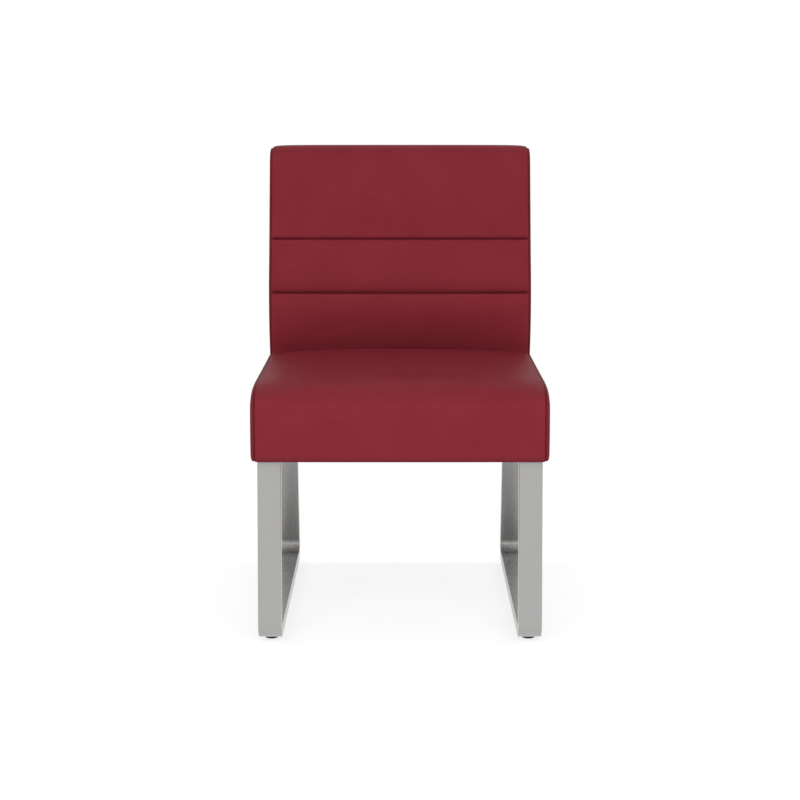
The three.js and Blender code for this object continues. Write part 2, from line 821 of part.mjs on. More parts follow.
/** The upholstered seat, from its underside at the front edge. */
function seat() {
  const corners = [['front', 'left'], ['front', 'right'], ['rear', 'left'], ['rear', 'right']];
  const blocks = corners.map(([endName, sideName]) => {
    const [side, end] = [sideName === 'right' ? 1 : -1, endName === 'rear' ? 1 : -1];
    return piece(`corner_block_${endName}_${sideName}`, cornerBlock(side, end), 'birch');
  });
  return groupAt(
    [0, 0, seatHeight],
    piece('seat_cover', seatCover(), 'vinyl'),
    piece('seat_foam', seatFoam(), 'foam'),
    piece('felt_pad', feltPad(), 'felt'),
    ...strapPlaces.map((_, i) => piece(`webbing_long_${i + 1}`, longStrap(i), 'webbing')),
    ...crossStrapPlaces.map((_, i) => piece(`webbing_cross_${i + 1}`, crossStrap(i), 'webbing')),
    piece('seat_rail_front', seatFrontRail(), 'birch'),
    piece('seat_rear_rail', seatRearRail(), 'birch'),
    piece('seat_side_rail_left', seatSideRail(-1), 'birch'),
    piece('seat_side_rail_right', seatSideRail(1), 'birch'),
    ...blocks,
    piece('dust_cover', dustCover(), 'dustCloth'),
  );
}

// Back

/** The region behind the seam of the outside back, at a depth from the rear face. */
function behindSeam(depth) {
  const heights = [-overrun, backHeight + overrun];
  return alongX(bentStrip([-2 * backDepth, depth], heights), [-seatWidth, seatWidth]);
}

/** The whole back skin, hollow inside. */
function backSkin() {
  return cut(backForm(0), backForm(coverThickness), ...backBoltHoles(backReach));
}

/** The foam in front of the back frame and around its edges. */
function backFoam() {
  const frame = bentStrip([-overrun, frameFace + clearance], [-overrun, frameTop + clearance]);
  const x = sideRailOuter + clearance;
  return cut(backForm(padInset), alongX(frame, [-x, x]), ...backBoltHoles(backReach));
}

/** A rail between the stiles, between two heights. */
function backRail(heights) {
  return alongX(bentStrip([stileFace, stileFace + stileDepth], heights), [-sideRailInner, sideRailInner]);
}

/** The upholstered back, from the underside of its front plane. */
function back() {
  const seamDepth = coverThickness + backSideRounding;
  const stile = bentStrip([stileFace, stileFace + stileDepth], [frameFoot, frameTop]);
  const supportPanel = bentStrip([supportFace, frameFace], [frameFoot, frameTop]);
  const rearPanel = bentStrip([padInset, padInset + rearPanelThickness], [frameFoot, frameTop]);
  const full = [-sideRailOuter, sideRailOuter];
  const skinned = backSkin();
  const holes = backBoltHoles(backReach);
  return groupAt(
    [0, backReach, seatHeight],
    piece('back_cover_front', cut(skinned, behindSeam(seamDepth + clearance)), 'vinyl'),
    piece('back_cover_rear', shared(skinned, behindSeam(seamDepth)), 'vinyl'),
    piece('back_foam', backFoam(), 'foam'),
    piece('back_support_panel', cut(alongX(supportPanel, full), ...holes), 'birch'),
    piece('back_rear_panel', alongX(rearPanel, full), 'fibreboard'),
    piece('back_stile_left', alongX(stile, [-sideRailOuter, -sideRailInner]), 'birch'),
    piece('back_stile_right', alongX(stile, [sideRailInner, sideRailOuter]), 'birch'),
    piece('back_lower_rail', cut(backRail([frameFoot, lowerBackRailTop]), ...holes), 'birch'),
    piece('back_middle_rail', backRail([middleBackRailRise, middleBackRailTop]), 'birch'),
    piece('back_top_rail', backRail([frameTop - topBackRailHeight, frameTop]), 'birch'),
  );
}

/** The bolts that hold the back's lower rail to the seat's rear rail. */
function backBolts() {
  return backBoltPlaces.map((x, i) => {
    const bolt = piece(`back_bolt_${i + 1}`, hexBolt(backBoltLength), 'zincSteel');
    bolt.rotation.x = -Math.PI / 2;
    bolt.position.set(x, backBoltSeat, seatHeight + backBoltHeight);
    return bolt;
  });
}

const chair = groupAt(
  [0, -overallDepth / 2, 0],
  baseSide('left', -legCentre),
  baseSide('right', legCentre),
  seat(),
  back(),
  ...backBolts(),
);

export default chair;
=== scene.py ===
"""An armless sled base visitor chair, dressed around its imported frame.

The cushions grow from boxes that are cut along their seams and then stuffed by a cloth simulation, the
steel is bent from the tube's own section, and each solid inside the upholstery gets a finish.
Metres, +Z up, the front of the chair towards -Y.
"""

import logging
import math
from dataclasses import dataclass
from enum import Enum
from functools import lru_cache
from typing import Any, Callable, Iterable, Sequence

import bmesh
import bpy
import numpy as np
from mathutils import Matrix, Vector


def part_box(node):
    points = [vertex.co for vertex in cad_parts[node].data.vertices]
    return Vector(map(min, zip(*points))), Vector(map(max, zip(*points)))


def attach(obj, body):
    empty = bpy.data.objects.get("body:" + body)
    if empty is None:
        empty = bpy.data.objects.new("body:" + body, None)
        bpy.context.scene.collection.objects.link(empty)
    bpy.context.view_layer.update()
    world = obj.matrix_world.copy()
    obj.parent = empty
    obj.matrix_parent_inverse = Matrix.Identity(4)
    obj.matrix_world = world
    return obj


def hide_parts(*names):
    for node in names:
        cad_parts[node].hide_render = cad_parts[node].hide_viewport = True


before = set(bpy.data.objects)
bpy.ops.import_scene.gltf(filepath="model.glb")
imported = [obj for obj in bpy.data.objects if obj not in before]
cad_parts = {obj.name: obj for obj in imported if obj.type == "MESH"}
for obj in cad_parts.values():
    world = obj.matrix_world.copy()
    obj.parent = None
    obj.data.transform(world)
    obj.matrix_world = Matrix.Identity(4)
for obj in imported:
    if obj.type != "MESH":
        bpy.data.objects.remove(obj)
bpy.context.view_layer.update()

log = logging.getLogger("visitor_chair")

MM = 0.001
TINY = 1e-6
CUT_REACH = 1e-7
ON_MARK = 1e-4
FRONT_RAKE = math.radians(4.6)
REAR_RAKE = math.radians(17.6)
SHARP_ANGLE = math.radians(35)
ROOT_BODY = "frame"
TUBE_PLACE = "tube_place"
# Point attribute of painted shade along the seams, the channels and the seat's front fold.
PAINTED_SHADE = "painted_shade"

Number = "float | Signal"
Colour = tuple[float, float, float]


class Side(Enum):
    """A side of the chair as the camera sees it, with its direction along X."""

    LEFT = -1
    RIGHT = 1

    @property
    def label(self) -> str:
        """The side's name in the frame's nodes."""
        return self.name.lower()


class End(Enum):
    """An end of a floor rail."""

    FRONT = "front"
    REAR = "rear"


class Grain(Enum):
    """The direction in which a board's fibres or a strap's warp run, as an axis number."""

    ACROSS = 0
    DEEP = 1
    UPRIGHT = 2


# Shader building


class Signal:
    """A value that varies over a surface: a shader socket that takes Python's operators."""

    def __init__(self, paint: "Paint", socket: bpy.types.NodeSocket) -> None:
        """Wraps one socket of a paint's node tree."""
        self.paint = paint
        self.socket = socket

    def _with(self, operation: str, first: Number, second: Number) -> "Signal":
        """Adds the Math node for one operation on two values."""
        return self.paint.value("ShaderNodeMath", {"operation": operation}, {0: first, 1: second})

    def __add__(self, other: Number) -> "Signal":
        """Sum with a value on the right."""
        return self._with("ADD", self, other)

    def __radd__(self, other: Number) -> "Signal":
        """Sum with a value on the left."""
        return self._with("ADD", other, self)

    def __sub__(self, other: Number) -> "Signal":
        """Difference with a value on the right."""
        return self._with("SUBTRACT", self, other)

    def __rsub__(self, other: Number) -> "Signal":
        """Difference with a value on the left."""
        return self._with("SUBTRACT", other, self)

    def __mul__(self, other: Number) -> "Signal":
        """Product with a value on the right."""
        return self._with("MULTIPLY", self, other)

    def __rmul__(self, other: Number) -> "Signal":
        """Product with a value on the left."""
        return self._with("MULTIPLY", other, self)

    def __pow__(self, power: Number) -> "Signal":
        """This value raised to a power."""
        return self._with("POWER", self, power)

    def at_least(self, other: Number) -> "Signal":
        """The higher of this value and another."""
        return self._with("MAXIMUM", self, other)

    def size(self) -> "Signal":
        """This value without its sign."""
        return self.paint.value("ShaderNodeMath", {"operation": "ABSOLUTE"}, {0: self})

    def wave(self) -> "Signal":
        """The sine of this value, in radians."""
        return self.paint.value("ShaderNodeMath", {"operation": "SINE"}, {0: self})


class Paint:
    """The node tree of one material around a Principled surface."""

    def __init__(self, name: str) -> None:
        """Starts a material with a bare surface.

        Args:
            name: The material's name.
        """
        self.material = bpy.data.materials.new(name)
        self.material.use_nodes = True
        self.tree = self.material.node_tree
        self.tree.nodes.clear()
        self.surface = self.node("ShaderNodeBsdfPrincipled")
        self.output = self.node("ShaderNodeOutputMaterial", inputs={"Surface": self.surface.outputs[0]})

    def node(self, kind: str, settings: dict[str, Any] | None = None,
             inputs: dict[Any, Any] | None = None) -> bpy.types.Node:
        """Adds a node.

        Args:
            kind: The node's type.
            settings: Its properties, set first.
            inputs: A value, a Signal or a socket for each input, by name or number.

        Returns:
            The new node.
        """
        made = self.tree.nodes.new(kind)
        for name, value in (settings or {}).items():
            setattr(made, name, value)
        for key, value in (inputs or {}).items():
            self.feed(made.inputs[key], value)
        return made

    def feed(self, socket: bpy.types.NodeSocket, value: Any) -> None:
        """Links a Signal or a socket to an input, or sets a plain value on it.

        Args:
            socket: The input.
            value: What feeds it.
        """
        source = value.socket if isinstance(value, Signal) else value
        if isinstance(source, bpy.types.NodeSocket):
            self.tree.links.new(source, socket)
        else:
            socket.default_value = source

    def value(self, kind: str, settings: dict[str, Any] | None = None,
              inputs: dict[Any, Any] | None = None, output: int | str = 0) -> Signal:
        """Adds a node and wraps one of its outputs."""
        return Signal(self, self.node(kind, settings, inputs).outputs[output])

    def place(self, scale: Sequence[float] = (1, 1, 1), turn: Sequence[float] = (0, 0, 0),
              attribute: str = "") -> bpy.types.NodeSocket:
        """Coordinates on the piece: the object's own, or a named attribute, scaled and turned.

        Args:
            scale: How much each axis is drawn together.
            turn: The turn about each axis, in radians.
            attribute: The mesh's attribute to read, or nothing for the object's own place.

        Returns:
            The coordinates.
        """
        if attribute:
            source = self.node("ShaderNodeAttribute", {"attribute_name": attribute}).outputs["Vector"]
        else:
            source = self.node("ShaderNodeTexCoord").outputs["Object"]
        mapping = self.node("ShaderNodeMapping", inputs={"Vector": source, "Scale": scale, "Rotation": turn})
        return mapping.outputs[0]

    def noise(self, place: bpy.types.NodeSocket, scale: float, detail: float = 3.0,
              roughness: float = 0.5, distortion: float = 0.0) -> Signal:
        """Soft noise from about 0 to 1, with a number of features per unit of the coordinates.

        Args:
            place: The coordinates to read.
            scale: Features per unit.
            detail: How many finer layers are added.
            roughness: How strong the finer layers are.
            distortion: How much the pattern is twisted.

        Returns:
            The pattern.
        """
        return self.value("ShaderNodeTexNoise", {"noise_dimensions": "3D"}, {
            "Vector": place, "Scale": scale, "Detail": detail, "Roughness": roughness,
            "Distortion": distortion,
        })

    def cells(self, place: bpy.types.NodeSocket, scale: float, feature: str = "F1") -> Signal:
        """Distances in a pattern of cells."""
        inputs = {"Vector": place, "Scale": scale}
        return self.value("ShaderNodeTexVoronoi", {"feature": feature}, inputs, "Distance")

    def axes(self, place: bpy.types.NodeSocket) -> list[Signal]:
        """The three coordinates of a place as values."""
        split = self.node("ShaderNodeSeparateXYZ", inputs={0: place})
        return [Signal(self, socket) for socket in split.outputs]

    def blend(self, factor: Number, low: Any, high: Any) -> bpy.types.NodeSocket:
        """A colour between two, by a factor.

        Args:
            factor: 0 for the first colour and 1 for the second.
            low: The first colour.
            high: The second colour.

        Returns:
            The mixed colour.
        """
        low, high = ((*c, 1.0) if isinstance(c, tuple) else c for c in (low, high))
        settings = {"data_type": "RGBA", "blend_type": "MIX", "clamp_factor": True}
        return self.node("ShaderNodeMix", settings, {0: factor, 6: low, 7: high}).outputs[2]

    def span(self, value: Signal, low: float, high: float, start: float = 0.0, end: float = 1.0) -> Signal:
        """Maps a value from one span to another, held at the ends.

        Args:
            value: The value to map.
            low: Where the first span starts.
            high: Where it ends.
            start: What low becomes.
            end: What high becomes.

        Returns:
            The mapped value.
        """
        return self.value("ShaderNodeMapRange", {"clamp": True}, {
            "Value": value, "From Min": low, "From Max": high, "To Min": start, "To Max": end,
        })

    def relief(self, height: Signal, depth: float, under: bpy.types.NodeSocket | None = None,
               strength: float = 1.0) -> bpy.types.NodeSocket:
        """A normal bent by a height pattern that is a real depth in metres, over another relief.

        Args:
            height: The pattern.
            depth: Its depth in metres.
            under: The normal of the other relief.
            strength: How much of the relief shows.

        Returns:
            The bent normal.
        """
        inputs = {"Height": height, "Distance": depth, "Strength": strength}
        if under is not None:
            inputs["Normal"] = under
        return self.node("ShaderNodeBump", inputs=inputs).outputs[0]

    def dress(self, **inputs: Any) -> bpy.types.Material:
        """Sets the surface's sockets and returns the material.

        Args:
            inputs: A value, a Signal or a socket for each, named with _ for a space.

        Returns:
            The finished material.
        """
        for name, value in inputs.items():
            opaque = (*value, 1.0) if isinstance(value, tuple) else value
            self.feed(self.surface.inputs[name.replace("_", " ")], opaque)
        return self.material


# Finishes


@dataclass(frozen=True)
class Finish:
    """What a surface is covered with or made of."""

    name: str

    def build(self) -> bpy.types.Material:
        """Makes the material."""
        raise NotImplementedError


@lru_cache(maxsize=None)
def material_of(finish: Finish) -> bpy.types.Material:
    """The one material of a finish, made when first asked for."""
    return finish.build()


def tinted(colour: Colour, factor: float) -> Colour:
    """A colour made darker or lighter by a factor."""
    return tuple(factor * part for part in colour)


@dataclass(frozen=True)
class Vinyl(Finish):
    """Coated upholstery fabric with a fine pebbled grain and a satin surface."""

    colour: Colour = (0.250, 0.0290, 0.0405)
    shaded: Colour = (0.224, 0.0240, 0.0345)
    grain: float = 1.0 * MM
    grain_depth: float = 0.05 * MM
    drape_depth: float = 0.5 * MM
    valley_tint: float = 0.86
    # Strength and darkness of the painted shade along the seams.
    crease_shade: float = 0.6
    crease_tint: float = 0.2
    roughness: float = 0.46

    def build(self) -> bpy.types.Material:
        """Grain from small cells, tone from soft noise, painted shade along the seams, and a slow unevenness
        of the padding.

        Returns:
            The material.
        """
        paint = Paint(self.name)
        place = paint.place()
        slow = paint.noise(place, 11.0, detail=2.0)
        mottle = paint.noise(place, 160.0, detail=4.0, roughness=0.6)
        pebbles = paint.cells(place, 1.0 / self.grain, "SMOOTH_F1")
        creases = paint.cells(place, 0.6 / self.grain, "DISTANCE_TO_EDGE")
        tone = paint.span(slow * 0.6 + mottle * 0.4, 0.36, 0.64)
        colour = paint.blend(tone, self.shaded, self.colour)
        valley = paint.span(creases, 0.0, 0.12)
        colour = paint.blend(valley, tinted(self.shaded, self.valley_tint), colour)
        # Painted shade: darker along the seams, the channels and the seat's front fold, read from the mesh.
        painted_shade = paint.value("ShaderNodeAttribute", {"attribute_name": PAINTED_SHADE}, output="Fac")
        colour = paint.blend(painted_shade * self.crease_shade, colour, tinted(self.shaded, self.crease_tint))
        padding = paint.relief(paint.noise(place, 9.0, detail=1.5), self.drape_depth)
        skin = paint.relief(paint.noise(place, 420.0, detail=2.0), self.grain_depth, padding, 0.6)
        normal = paint.relief(valley - pebbles * 0.8, self.grain_depth, skin)
        return paint.dress(
            Base_Color=colour,
            Roughness=self.roughness + 0.10 * (1 - valley) + 0.08 * (mottle - 0.5),
            Normal=normal,
            Specular_IOR_Level=0.03,
        )


@dataclass(frozen=True)
class Thread(Finish):
    """Bonded sewing thread."""

    colour: Colour = (0.12, 0.012, 0.018)

    def build(self) -> bpy.types.Material:
        """Fine twist along the stitch.

        Returns:
            The material.
        """
        paint = Paint(self.name)
        twist = paint.noise(paint.place(), 2600.0, detail=1.0)
        colour = paint.blend(twist, self.colour, tinted(self.colour, 1.5))
        return paint.dress(Base_Color=colour, Roughness=0.55 + 0.2 * twist,
                           Normal=paint.relief(twist, 0.05 * MM))


@dataclass(frozen=True)
class BrushedSteel(Finish):
    """Steel brushed along the tube and lacquered."""

    colour: Colour = (0.436, 0.432, 0.421)
    streak: Colour = (0.414, 0.410, 0.399)
    roughness: float = 0.26

    def build(self) -> bpy.types.Material:
        """Streaks that follow the tube round its bends.

        Returns:
            The material.
        """
        paint = Paint(self.name)
        fine = paint.noise(paint.place((1500, 1500, 14), attribute=TUBE_PLACE), 1.0, detail=4.0)
        broad = paint.noise(paint.place((260, 260, 5), attribute=TUBE_PLACE), 1.0, detail=2.0)
        cloud = paint.noise(paint.place(), 14.0, detail=2.0)
        streaks = paint.span(fine * 0.65 + broad * 0.35, 0.3, 0.7)
        colour = paint.blend(streaks, self.streak, self.colour)
        return paint.dress(
            Base_Color=colour,
            Metallic=0.85,
            Roughness=self.roughness + 0.06 * (streaks - 0.5) + 0.06 * (cloud - 0.5),
            Normal=paint.relief(streaks, 0.008 * MM),
        )


@dataclass(frozen=True)
class ZincSteel(Finish):
    """Bright zinc plate on fasteners."""

    colour: Colour = (0.60, 0.62, 0.65)

    def build(self) -> bpy.types.Material:
        """Plate with a faint spangle and handling marks.

        Returns:
            The material.
        """
        paint = Paint(self.name)
        place = paint.place()
        spangle = paint.cells(place, 700.0)
        smear = paint.noise(place, 120.0, detail=3.0)
        colour = paint.blend(paint.span(smear, 0.3, 0.7), tinted(self.colour, 0.82), self.colour)
        return paint.dress(Base_Color=colour, Metallic=1.0, Roughness=0.24 + 0.16 * smear,
                           Normal=paint.relief(spangle, 0.02 * MM))


@dataclass(frozen=True)
class Nylon(Finish):
    """Black moulded nylon with a fine spark texture."""

    colour: Colour = (0.016, 0.016, 0.018)

    def build(self) -> bpy.types.Material:
        """Moulded texture with rubbed places.

        Returns:
            The material.
        """
        paint = Paint(self.name)
        place = paint.place()
        spark = paint.noise(place, 1800.0, detail=2.0)
        rub = paint.span(paint.noise(place, 90.0, detail=3.0), 0.45, 0.7)
        colour = paint.blend(rub, self.colour, tinted(self.colour, 2.2))
        return paint.dress(Base_Color=colour, Roughness=0.42 + 0.2 * spark,
                           Normal=paint.relief(spark, 0.04 * MM))


@dataclass(frozen=True)
class Timber(Finish):
    """Planed birch with its rings along the board."""

    grain: Grain = Grain.ACROSS
    pale: Colour = (0.62, 0.43, 0.24)
    dark: Colour = (0.45, 0.27, 0.13)
    ring: float = 3.2 * MM

    def build(self) -> bpy.types.Material:
        """Rings about a line beside the board, drawn out along its length, with fine pores.

        Returns:
            The material.
        """
        paint = Paint(self.name)
        stretch = [1.0, 1.0, 1.0]
        stretch[self.grain.value] = 0.04
        place = paint.place(stretch)
        warp = paint.noise(place, 16.0, detail=3.0)
        across = [axis for i, axis in enumerate(paint.axes(place)) if i != self.grain.value]
        radius = (across[0] + 0.031) ** 2.0 + (across[1] + 0.047) ** 2.0
        rings = ((radius ** 0.5 + 0.02 * warp) * (2 * math.pi / self.ring)).wave() * 0.5 + 0.5
        pores = paint.noise(place, 1500.0, detail=2.0)
        tone = paint.span(rings * 0.6 + pores * 0.4, 0.1, 0.95)
        return paint.dress(Base_Color=paint.blend(tone, self.dark, self.pale), Roughness=0.62 + 0.15 * pores,
                           Normal=paint.relief(pores, 0.08 * MM))


@dataclass(frozen=True)
class Fibreboard(Finish):
    """Pressed brown fibreboard."""

    pale: Colour = (0.27, 0.165, 0.085)
    dark: Colour = (0.15, 0.085, 0.04)

    def build(self) -> bpy.types.Material:
        """Short matted fibres.

        Returns:
            The material.
        """
        paint = Paint(self.name)
        place = paint.place()
        fibres = paint.noise(place, 500.0, detail=5.0, roughness=0.65, distortion=1.2)
        return paint.dress(Base_Color=paint.blend(paint.span(fibres, 0.3, 0.7), self.dark, self.pale),
                           Roughness=0.8 + 0.1 * fibres, Normal=paint.relief(fibres, 0.1 * MM))


@dataclass(frozen=True)
class Foam(Finish):
    """Cut polyurethane foam."""

    colour: Colour = (0.77, 0.68, 0.42)
    pore: Colour = (0.52, 0.43, 0.23)

    def build(self) -> bpy.types.Material:
        """Open pores of two sizes on the cut face.

        Returns:
            The material.
        """
        paint = Paint(self.name)
        place = paint.place()
        small = paint.cells(place, 900.0)
        large = paint.cells(place, 260.0)
        depth = paint.span(small * 0.5 + large * 0.5, 0.1, 0.5)
        return paint.dress(Base_Color=paint.blend(depth, self.pore, self.colour), Roughness=0.95,
                           Normal=paint.relief(depth, 0.3 * MM))


@dataclass(frozen=True)
class Felt(Finish):
    """Needled pad of mixed grey fibres."""

    pale: Colour = (0.34, 0.32, 0.30)
    dark: Colour = (0.16, 0.15, 0.15)

    def build(self) -> bpy.types.Material:
        """Matted fibres with flecks.

        Returns:
            The material.
        """
        paint = Paint(self.name)
        place = paint.place()
        mat = paint.noise(place, 320.0, detail=5.0, roughness=0.7, distortion=2.5)
        fleck = paint.cells(place, 240.0)
        tone = paint.span(mat * 0.75 + fleck * 0.25, 0.25, 0.65)
        return paint.dress(Base_Color=paint.blend(tone, self.dark, self.pale), Roughness=0.95,
                           Normal=paint.relief(mat, 0.5 * MM))


@dataclass(frozen=True)
class Webbing(Finish):
    """Woven elastic strap."""

    grain: Grain = Grain.DEEP
    pale: Colour = (0.060, 0.060, 0.066)
    dark: Colour = (0.018, 0.018, 0.021)
    rib: float = 2.0 * MM

    def build(self) -> bpy.types.Material:
        """Warp ribs along the strap, crossed by a finer weft.

        Returns:
            The material.
        """
        paint = Paint(self.name)
        axes = paint.axes(paint.place())
        along, across = (1, 0) if self.grain is Grain.DEEP else (0, 1)
        warp = (axes[across] * (2 * math.pi / self.rib)).wave() * 0.5 + 0.5
        weft = (axes[along] * (4 * math.pi / self.rib)).wave() * 0.5 + 0.5
        weave = warp * 0.6 + weft * 0.4
        return paint.dress(Base_Color=paint.blend(weave, self.dark, self.pale), Roughness=0.8,
                           Normal=paint.relief(weave, 0.4 * MM))


@dataclass(frozen=True)
class DustCloth(Finish):
    """Black spunbonded cloth with its pattern of heat-bonded points."""

    colour: Colour = (0.14, 0.14, 0.145)
    fibre: Colour = (0.24, 0.24, 0.245)
    bond: float = 1.6 * MM

    def build(self) -> bpy.types.Material:
        """Random fibres pressed flat at a regular grid of points.

        Returns:
            The material.
        """
        paint = Paint(self.name)
        turned = paint.place(turn=(0, 0, math.pi / 4))
        axes = paint.axes(turned)
        grid = [(axis * (2 * math.pi / self.bond)).wave() * 0.5 + 0.5 for axis in axes[:2]]
        bonds = paint.span(grid[0] * grid[1], 0.55, 0.8)
        fibres = paint.noise(turned, 520.0, detail=5.0, roughness=0.7, distortion=3.0)
        sag = paint.noise(turned, 16.0, detail=2.0)
        tone = paint.span(fibres, 0.35, 0.7) * (1 - 0.6 * bonds)
        normal = paint.relief(tone - bonds * 0.5, 0.12 * MM, paint.relief(sag, 1.5 * MM))
        return paint.dress(Base_Color=paint.blend(tone, self.colour, self.fibre), Roughness=0.85,
                           Normal=normal)


VINYL = Vinyl("vinyl")
THREAD = Thread("thread")
BRUSHED = BrushedSteel("brushed_steel")
ZINC = ZincSteel("zinc_steel")
NYLON = Nylon("nylon")
DUST_CLOTH = DustCloth("dust_cloth")


# Mesh building


def write_piece(shape: bmesh.types.BMesh, name: str, finish: Finish,
                body: str = ROOT_BODY) -> bpy.types.Object:
    """Turns a finished shape into a piece of the chair.

    Args:
        shape: The shape in place in the chair's frame. It is freed.
        name: The piece's name.
        finish: What it is covered with.
        body: The body that it moves with.

    Returns:
        The new object, riding on its body.
    """
    bmesh.ops.recalc_face_normals(shape, faces=shape.faces[:])
    mesh = bpy.data.meshes.new(name)
    shape.to_mesh(mesh)
    shape.free()
    mesh.shade_smooth()
    mesh.materials.append(material_of(finish))
    piece = bpy.data.objects.new(name, mesh)
    bpy.context.scene.collection.objects.link(piece)
    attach(piece, body)
    return piece


def weigh_normals(piece: bpy.types.Object) -> None:
    """Lets large flat faces keep their shading next to small rounded edges."""
    weights = piece.modifiers.new("face_weights", "WEIGHTED_NORMAL")
    weights.keep_sharp = True


def only(parts: Iterable[Any], kind: type) -> list[Any]:
    """The parts of one kind: points, edges or faces."""
    return [part for part in parts if isinstance(part, kind)]


def bevelled(shape: bmesh.types.BMesh, parts: Iterable[Any], offset: float, segments: int,
             affect: str = "EDGES") -> None:
    """Rounds or breaks edges, or the corners of a flat outline."""
    bmesh.ops.bevel(shape, geom=list(parts), offset=offset, segments=segments, profile=0.5,
                    affect=affect, material=-1)


def drawn(shape: bmesh.types.BMesh, faces: Iterable[bmesh.types.BMFace],
          step: Vector) -> list[bmesh.types.BMFace]:
    """Extrudes an end face along a straight step.

    Args:
        shape: The shape that grows.
        faces: Its end face, alone in a list.
        step: How far the end moves.

    Returns:
        The new end face, alone in a list.
    """
    grown = bmesh.ops.extrude_face_region(shape, geom=list(faces))["geom"]
    bmesh.ops.translate(shape, vec=step, verts=only(grown, bmesh.types.BMVert))
    return only(grown, bmesh.types.BMFace)


def cut_box(shares: Sequence[Sequence[float]]) -> bmesh.types.BMesh:
    """A unit box whose faces are cut along planes at shares of each axis.

    Args:
        shares: The places of the cuts along X, Y and Z, each between 0 and 1.

    Returns:
        The box, from 0 to 1 along each axis.
    """
    box = bmesh.new()
    bmesh.ops.create_cube(box, size=1.0, matrix=Matrix.Translation((0.5, 0.5, 0.5)))
    for axis, places in enumerate(shares):
        normal = Vector([float(i == axis) for i in range(3)])
        for place in places:
            parts = box.verts[:] + box.edges[:] + box.faces[:]
            bmesh.ops.bisect_plane(box, geom=parts, dist=CUT_REACH, plane_co=normal * place, plane_no=normal)
    return box


def graded(length: float, pitch: float, close: Sequence[float], marks: Sequence[float] = ()) -> list[float]:
    """Cuts along a panel that crowd at its ends and at marks, and lie a pitch apart elsewhere.

    Args:
        length: The panel's length.
        pitch: The wide spacing.
        close: Distances from an end or a mark at which a cut lies.
        marks: Places along the panel with seams or folds.

    Returns:
        The places of the cuts as shares of the length, without the ends.
    """
    ends = {p for d in close for p in (d, length - d)}
    about = {m + s * d for m in marks for d in close for s in (-1, 1)}
    fixed = sorted(p for p in ends | about | {0.0, length} if -1e-9 <= p <= length + 1e-9)
    places = [fixed[0]]
    for place in fixed[1:]:
        last = places[-1]
        gap = place - last
        if gap < 0.25 * MM:
            continue
        steps = max(1, round(gap / pitch))
        places.extend(last + gap * (i + 1) / steps for i in range(steps))
    return [p / length for p in places if TINY < p / length < 1 - TINY]


def arc(centre: Sequence[float], radii: Sequence[float], start: float, end: float,
        steps: int = 16) -> np.ndarray:
    """Points of an elliptical arc between two angles in degrees."""
    angles = np.radians(np.linspace(start, end, steps + 1))
    return np.stack([centre[0] + radii[0] * np.cos(angles), centre[1] + radii[1] * np.sin(angles)], 1)


def smoothstep(value: np.ndarray, low: float, high: float) -> np.ndarray:
    """A smooth rise from 0 at low to 1 at high."""
    share = np.clip((value - low) / (high - low), 0, 1)
    return share * share * (3 - 2 * share)


def on_rim(shares: np.ndarray) -> np.ndarray:
    """Whether each point lies on the rim of a unit square."""
    return ((shares < TINY) | (shares > 1 - TINY)).any(axis=1)


class Edge:
    """One side of a panel's outline, walked by its share of length."""

    def __init__(self, *parts: np.ndarray) -> None:
        """Joins runs of points into one line.

        Args:
            parts: The points of each run, as rows.
        """
        self.points = np.concatenate(parts)
        steps = np.linalg.norm(np.diff(self.points, axis=0), axis=1)
        self.walked = np.concatenate([[0], np.cumsum(steps)])

    @property
    def length(self) -> float:
        """The edge's length."""
        return float(self.walked[-1])

    def share_of(self, value: float, axis: int) -> float:
        """The share of the edge's length at which one of its coordinates reaches a value."""
        return float(np.interp(value, self.points[:, axis], self.walked)) / self.length

    def at(self, share: np.ndarray) -> np.ndarray:
        """Points at shares of the edge's length."""
        walked = share * self.length
        return np.stack([np.interp(walked, self.walked, self.points[:, i]) for i in range(2)], 1)


@dataclass
class Panel:
    """A flat outline with four edges, as a sewn side panel has."""

    front: Edge
    rear: Edge
    bottom: Edge
    top: Edge

    def at(self, along: np.ndarray, up: np.ndarray) -> np.ndarray:
        """Points inside the outline, by their shares along and up.

        Args:
            along: Shares from the front edge to the rear edge.
            up: Shares from the bottom edge to the top edge.

        Returns:
            The points in the panel's plane.
        """
        u, v = along[:, None], up[:, None]
        low, high = np.zeros_like(along), np.ones_like(along)
        ruled = (1 - v) * self.bottom.at(along) + v * self.top.at(along)
        ruled = ruled + (1 - u) * self.front.at(up) + u * self.rear.at(up)
        corners = (1 - u) * (1 - v) * self.bottom.at(low) + u * (1 - v) * self.bottom.at(high)
        return ruled - corners - (1 - u) * v * self.top.at(low) - u * v * self.top.at(high)

    def margin(self, points: np.ndarray) -> np.ndarray:
        """How far each point lies inside the outline.

        Args:
            points: Points in the panel's plane.

        Returns:
            Each point's distance from the nearest edge.
        """
        loop = [self.bottom.points, self.rear.points, self.top.points[::-1], self.front.points[::-1]]
        starts = np.concatenate([part[:-1] for part in loop])
        ends = np.concatenate([part[1:] for part in loop])
        run = ends - starts
        square = np.maximum((run ** 2).sum(1), 1e-18)
        nearest = np.full(len(points), np.inf)
        for start, step, size in zip(starts, run, square):
            share = np.clip(((points - start) @ step) / size, 0, 1)
            gap = np.linalg.norm(points - start - share[:, None] * step, axis=1)
            nearest = np.minimum(nearest, gap)
        return nearest


